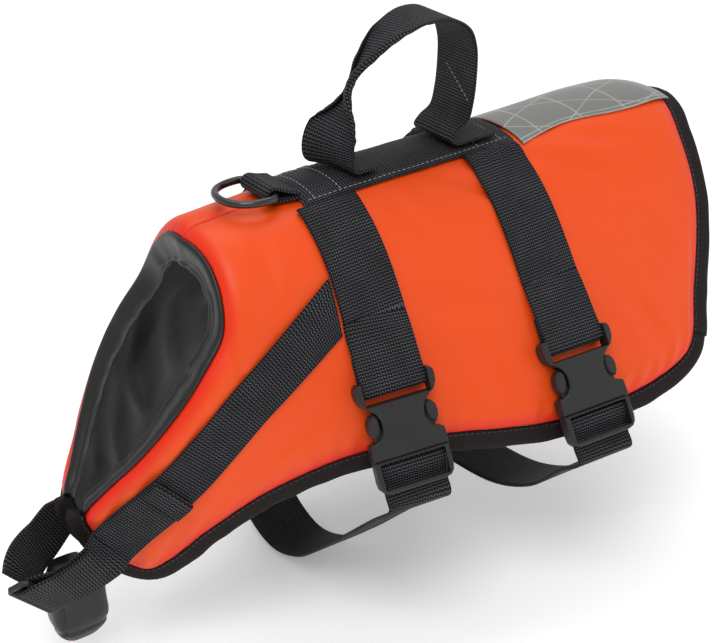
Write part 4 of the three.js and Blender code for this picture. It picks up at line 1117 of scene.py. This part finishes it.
padSections = [(-190, -236, 2.4, 12, 9), (-196, -235, 2.4, 15, 11), (-208, -234, 2.4, 17.5, 12),
               (-223, -234, 2.4, 17.5, 12), (-235, -234, 2.4, 15.5, 10), (-241, -234, 2.4, 10.5, 6.5),
               (-243, -234, 2.4, 4, 3)]
sections = np.array(padSections, float)
spline = catmull(sections[:, :3], 60)
sizes = catmull(np.column_stack([sections[:, 3:], np.zeros(len(sections))]), 60)[:, :2]
angles = np.linspace(0, 2 * math.pi, 96, endpoint=False)
squareRound = lambda value: np.sign(value) * np.abs(value) ** 0.62
rings = []
for (z, x, y), (halfX, halfY) in zip(spline, sizes):
    seam = 1 - 0.13 * np.exp(-((angles - 3.95) / 0.07) ** 2) - 0.13 * np.exp(-((angles - 0.8) / 0.07) ** 2)
    seam = seam + 0.03 * np.sin(3 * angles + z * 0.15) - 0.05 * math.exp(-((z + 232) / 1.8) ** 2)
    ringX = x + squareRound(np.cos(angles)) * halfX * seam
    ringY = y + squareRound(np.sin(angles)) * halfY * seam
    rings.append(np.stack([ringX, ringY, np.full(96, z + raiseBy)], 1))
pad = ringSweep("chestPad", np.array(rings), np.arange(61) * 0.9, list(angles * 15), liningCloth)
settle(pad, "binding_tape", "chest_pad")
print("chest pad made")

# Buckles and slider keep their CAD form

for name in ("buckle_front_body", "buckle_front_insert", "buckle_rear_body", "buckle_rear_insert", "slider"):
    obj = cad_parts[name]
    obj.data.materials.clear()
    obj.data.materials.append(acetal)
    bevel = obj.modifiers.new("softEdges", "BEVEL")
    bevel.width, bevel.segments, bevel.angle_limit = 0.0004, 2, math.radians(40)

# Stitching

stitchLook = {"length": 2.6, "gap": 0.9, "radius": 0.28}


def stitchRun(bm, points, normals):
    # small thread capsules along a line of points (mm)
    points, normals = np.asarray(points, float), np.asarray(normals, float)
    lengths = np.concatenate([[0], np.cumsum(np.linalg.norm(np.diff(points, axis=0), axis=1))])
    pitch = stitchLook["length"] + stitchLook["gap"]
    for start in np.arange(0.5, lengths[-1] - stitchLook["length"], pitch):
        a, b = (np.array([np.interp(start + d, lengths, points[:, c]) for c in range(3)])
                for d in (0, stitchLook["length"]))
        n = unit(np.array([np.interp(start, lengths, normals[:, c]) for c in range(3)]))
        run = unit(b - a)
        side = np.cross(n, run)
        half = np.linalg.norm(b - a) / 2
        basis = Matrix((np.append(run * half, 0), np.append(side * stitchLook["radius"], 0),
                        np.append(n * stitchLook["radius"], 0), (0, 0, 0, 1))).transposed()
        basis.translation = Vector((a + b) / 2)
        bmesh.ops.create_uvsphere(bm, u_segments=5, v_segments=4, radius=1, matrix=Matrix.Scale(mm, 4) @ basis
                                  @ Matrix.Rotation(math.pi / 2, 4, "Y"))


def gridLine(rows, i0, j0, i1, j1, count=30, lift=1.0):
    # straight line between two places of a band's rows, lifted onto its face
    middle, normal = rows
    ii, jj = np.linspace(i0, i1, count), np.linspace(j0, j1, count)
    def take(array):
        i, j = np.clip(ii.astype(int), 0, array.shape[0] - 2), np.clip(jj.astype(int), 0, array.shape[1] - 2)
        wi, wj = (ii - i)[:, None], (jj - j)[:, None]
        return ((array[i, j] * (1 - wi) + array[i + 1, j] * wi) * (1 - wj)
                + (array[i, j + 1] * (1 - wi) + array[i + 1, j + 1] * wi) * wj)
    points, normals = take(middle), take(normal)
    return points + normals * lift, normals


blackStitches = bmesh.new()
for side, shares in ((left, hemShares), (right, hemShares)):
    at, across, up = edgeFrames(side, shares)
    stitchRun(blackStitches, at + across * 2.0 + up * 1.0, up)
at, across, up = rearFrames
stitchRun(blackStitches, at + across * 2.0 + up * 1.0, up)
stitches = finishObject("bindingStitches", blackStitches, blackThread)
settle(stitches, "binding_tape")

handleRowsMade = rowsOf["handle"]
lastRow, lastColumn = handleRowsMade[0].shape[0] - 1, handleRowsMade[0].shape[1] - 1
greyStitches = bmesh.new()
legLow, legHigh = int(lastRow * 0.765), int(lastRow * 0.715)
stitchRun(greyStitches, *gridLine(handleRowsMade, legLow, 2, legHigh, lastColumn - 6))
for i in (3, 10):
    stitchRun(greyStitches, *gridLine(rowsOf["back"], i, 1, i, 15))
    stitchRun(greyStitches, *gridLine(rowsOf["back"], 59 - i, 1, 59 - i, 15))
for j in (1, 15):
    stitchRun(greyStitches, *gridLine(rowsOf["back"], 1, j, 58, j, 60))
stitches = finishObject("webbingStitches", greyStitches, greyThread)
settle(stitches, "webbing")
print("stitching made")

# Camera, light and floor

view = {"azimuth": -34.0, "elevation": 27.0, "roll": 1.0, "distance": 0.95, "focalPixels": 1577.0,
        "anchor": (0, 0, 0.0122), "anchorPixel": (397, 157), "image": (713, 643)}


def placeCamera():
    a, e, r = (math.radians(view[k]) for k in ("azimuth", "elevation", "roll"))
    ahead = Vector((-math.sin(a) * math.cos(e), math.cos(a) * math.cos(e), -math.sin(e)))
    level = Vector((math.cos(a), math.sin(a), 0))
    upright = level.cross(ahead)
    rightward = level * math.cos(r) - upright * math.sin(r)
    upward = upright * math.cos(r) + level * math.sin(r)
    px = (view["anchorPixel"][0] - view["image"][0] / 2) / view["focalPixels"]
    py = -(view["anchorPixel"][1] - view["image"][1] / 2) / view["focalPixels"]
    place = Vector(view["anchor"]) - (ahead + rightward * px + upward * py) * view["distance"]
    data = bpy.data.cameras.new("camera")
    data.sensor_fit = "HORIZONTAL"
    data.sensor_width = 36
    data.lens = view["focalPixels"] / view["image"][0] * 36
    data.clip_start = 0.01
    camera = bpy.data.objects.new("camera", data)
    camera.matrix_world = Matrix.Translation(place) @ Matrix((rightward, upward, -ahead)).transposed().to_4x4()
    bpy.context.scene.collection.objects.link(camera)
    bpy.context.scene.camera = camera


def softLight(name, place, target, size, power):
    data = bpy.data.lights.new(name, "AREA")
    data.shape = "RECTANGLE"
    data.size, data.size_y = size
    data.energy = power
    lamp = bpy.data.objects.new(name, data)
    toward = Vector(target) - Vector(place)
    lamp.matrix_world = Matrix.Translation(Vector(place)) @ toward.to_track_quat("-Z", "Y").to_matrix().to_4x4()
    bpy.context.scene.collection.objects.link(lamp)


placeCamera()
softLight("keySoftbox", (-0.7, -0.9, 1.5), (0, 0, -0.05), (1.0, 1.0), 15)
softLight("fillSoftbox", (1.1, -1.3, 0.5), (0, 0, -0.1), (1.2, 1.2), 3)
softLight("topSoftbox", (0.1, 0.5, 1.6), (0, 0, 0), (1.4, 1.0), 9)
world = bpy.data.worlds.new("studio")
world.use_nodes = True
world.node_tree.nodes["Background"].inputs["Color"].default_value = (1, 1, 1, 1)
world.node_tree.nodes["Background"].inputs["Strength"].default_value = 0.62
bpy.context.scene.world = world
bpy.context.scene.view_settings.view_transform = "Standard"

floorMesh = bmesh.new()
bmesh.ops.create_grid(floorMesh, x_segments=1, y_segments=1, size=4)
bmesh.ops.translate(floorMesh, verts=floorMesh.verts, vec=(0, 0, cadLow[2] - 0.004))
paper = newMaterial("white paper floor", "#ffffff", 0.95, Emission_Strength=0.2)[0]
floor = finishObject("floor", floorMesh, paper)
print("scene lit")
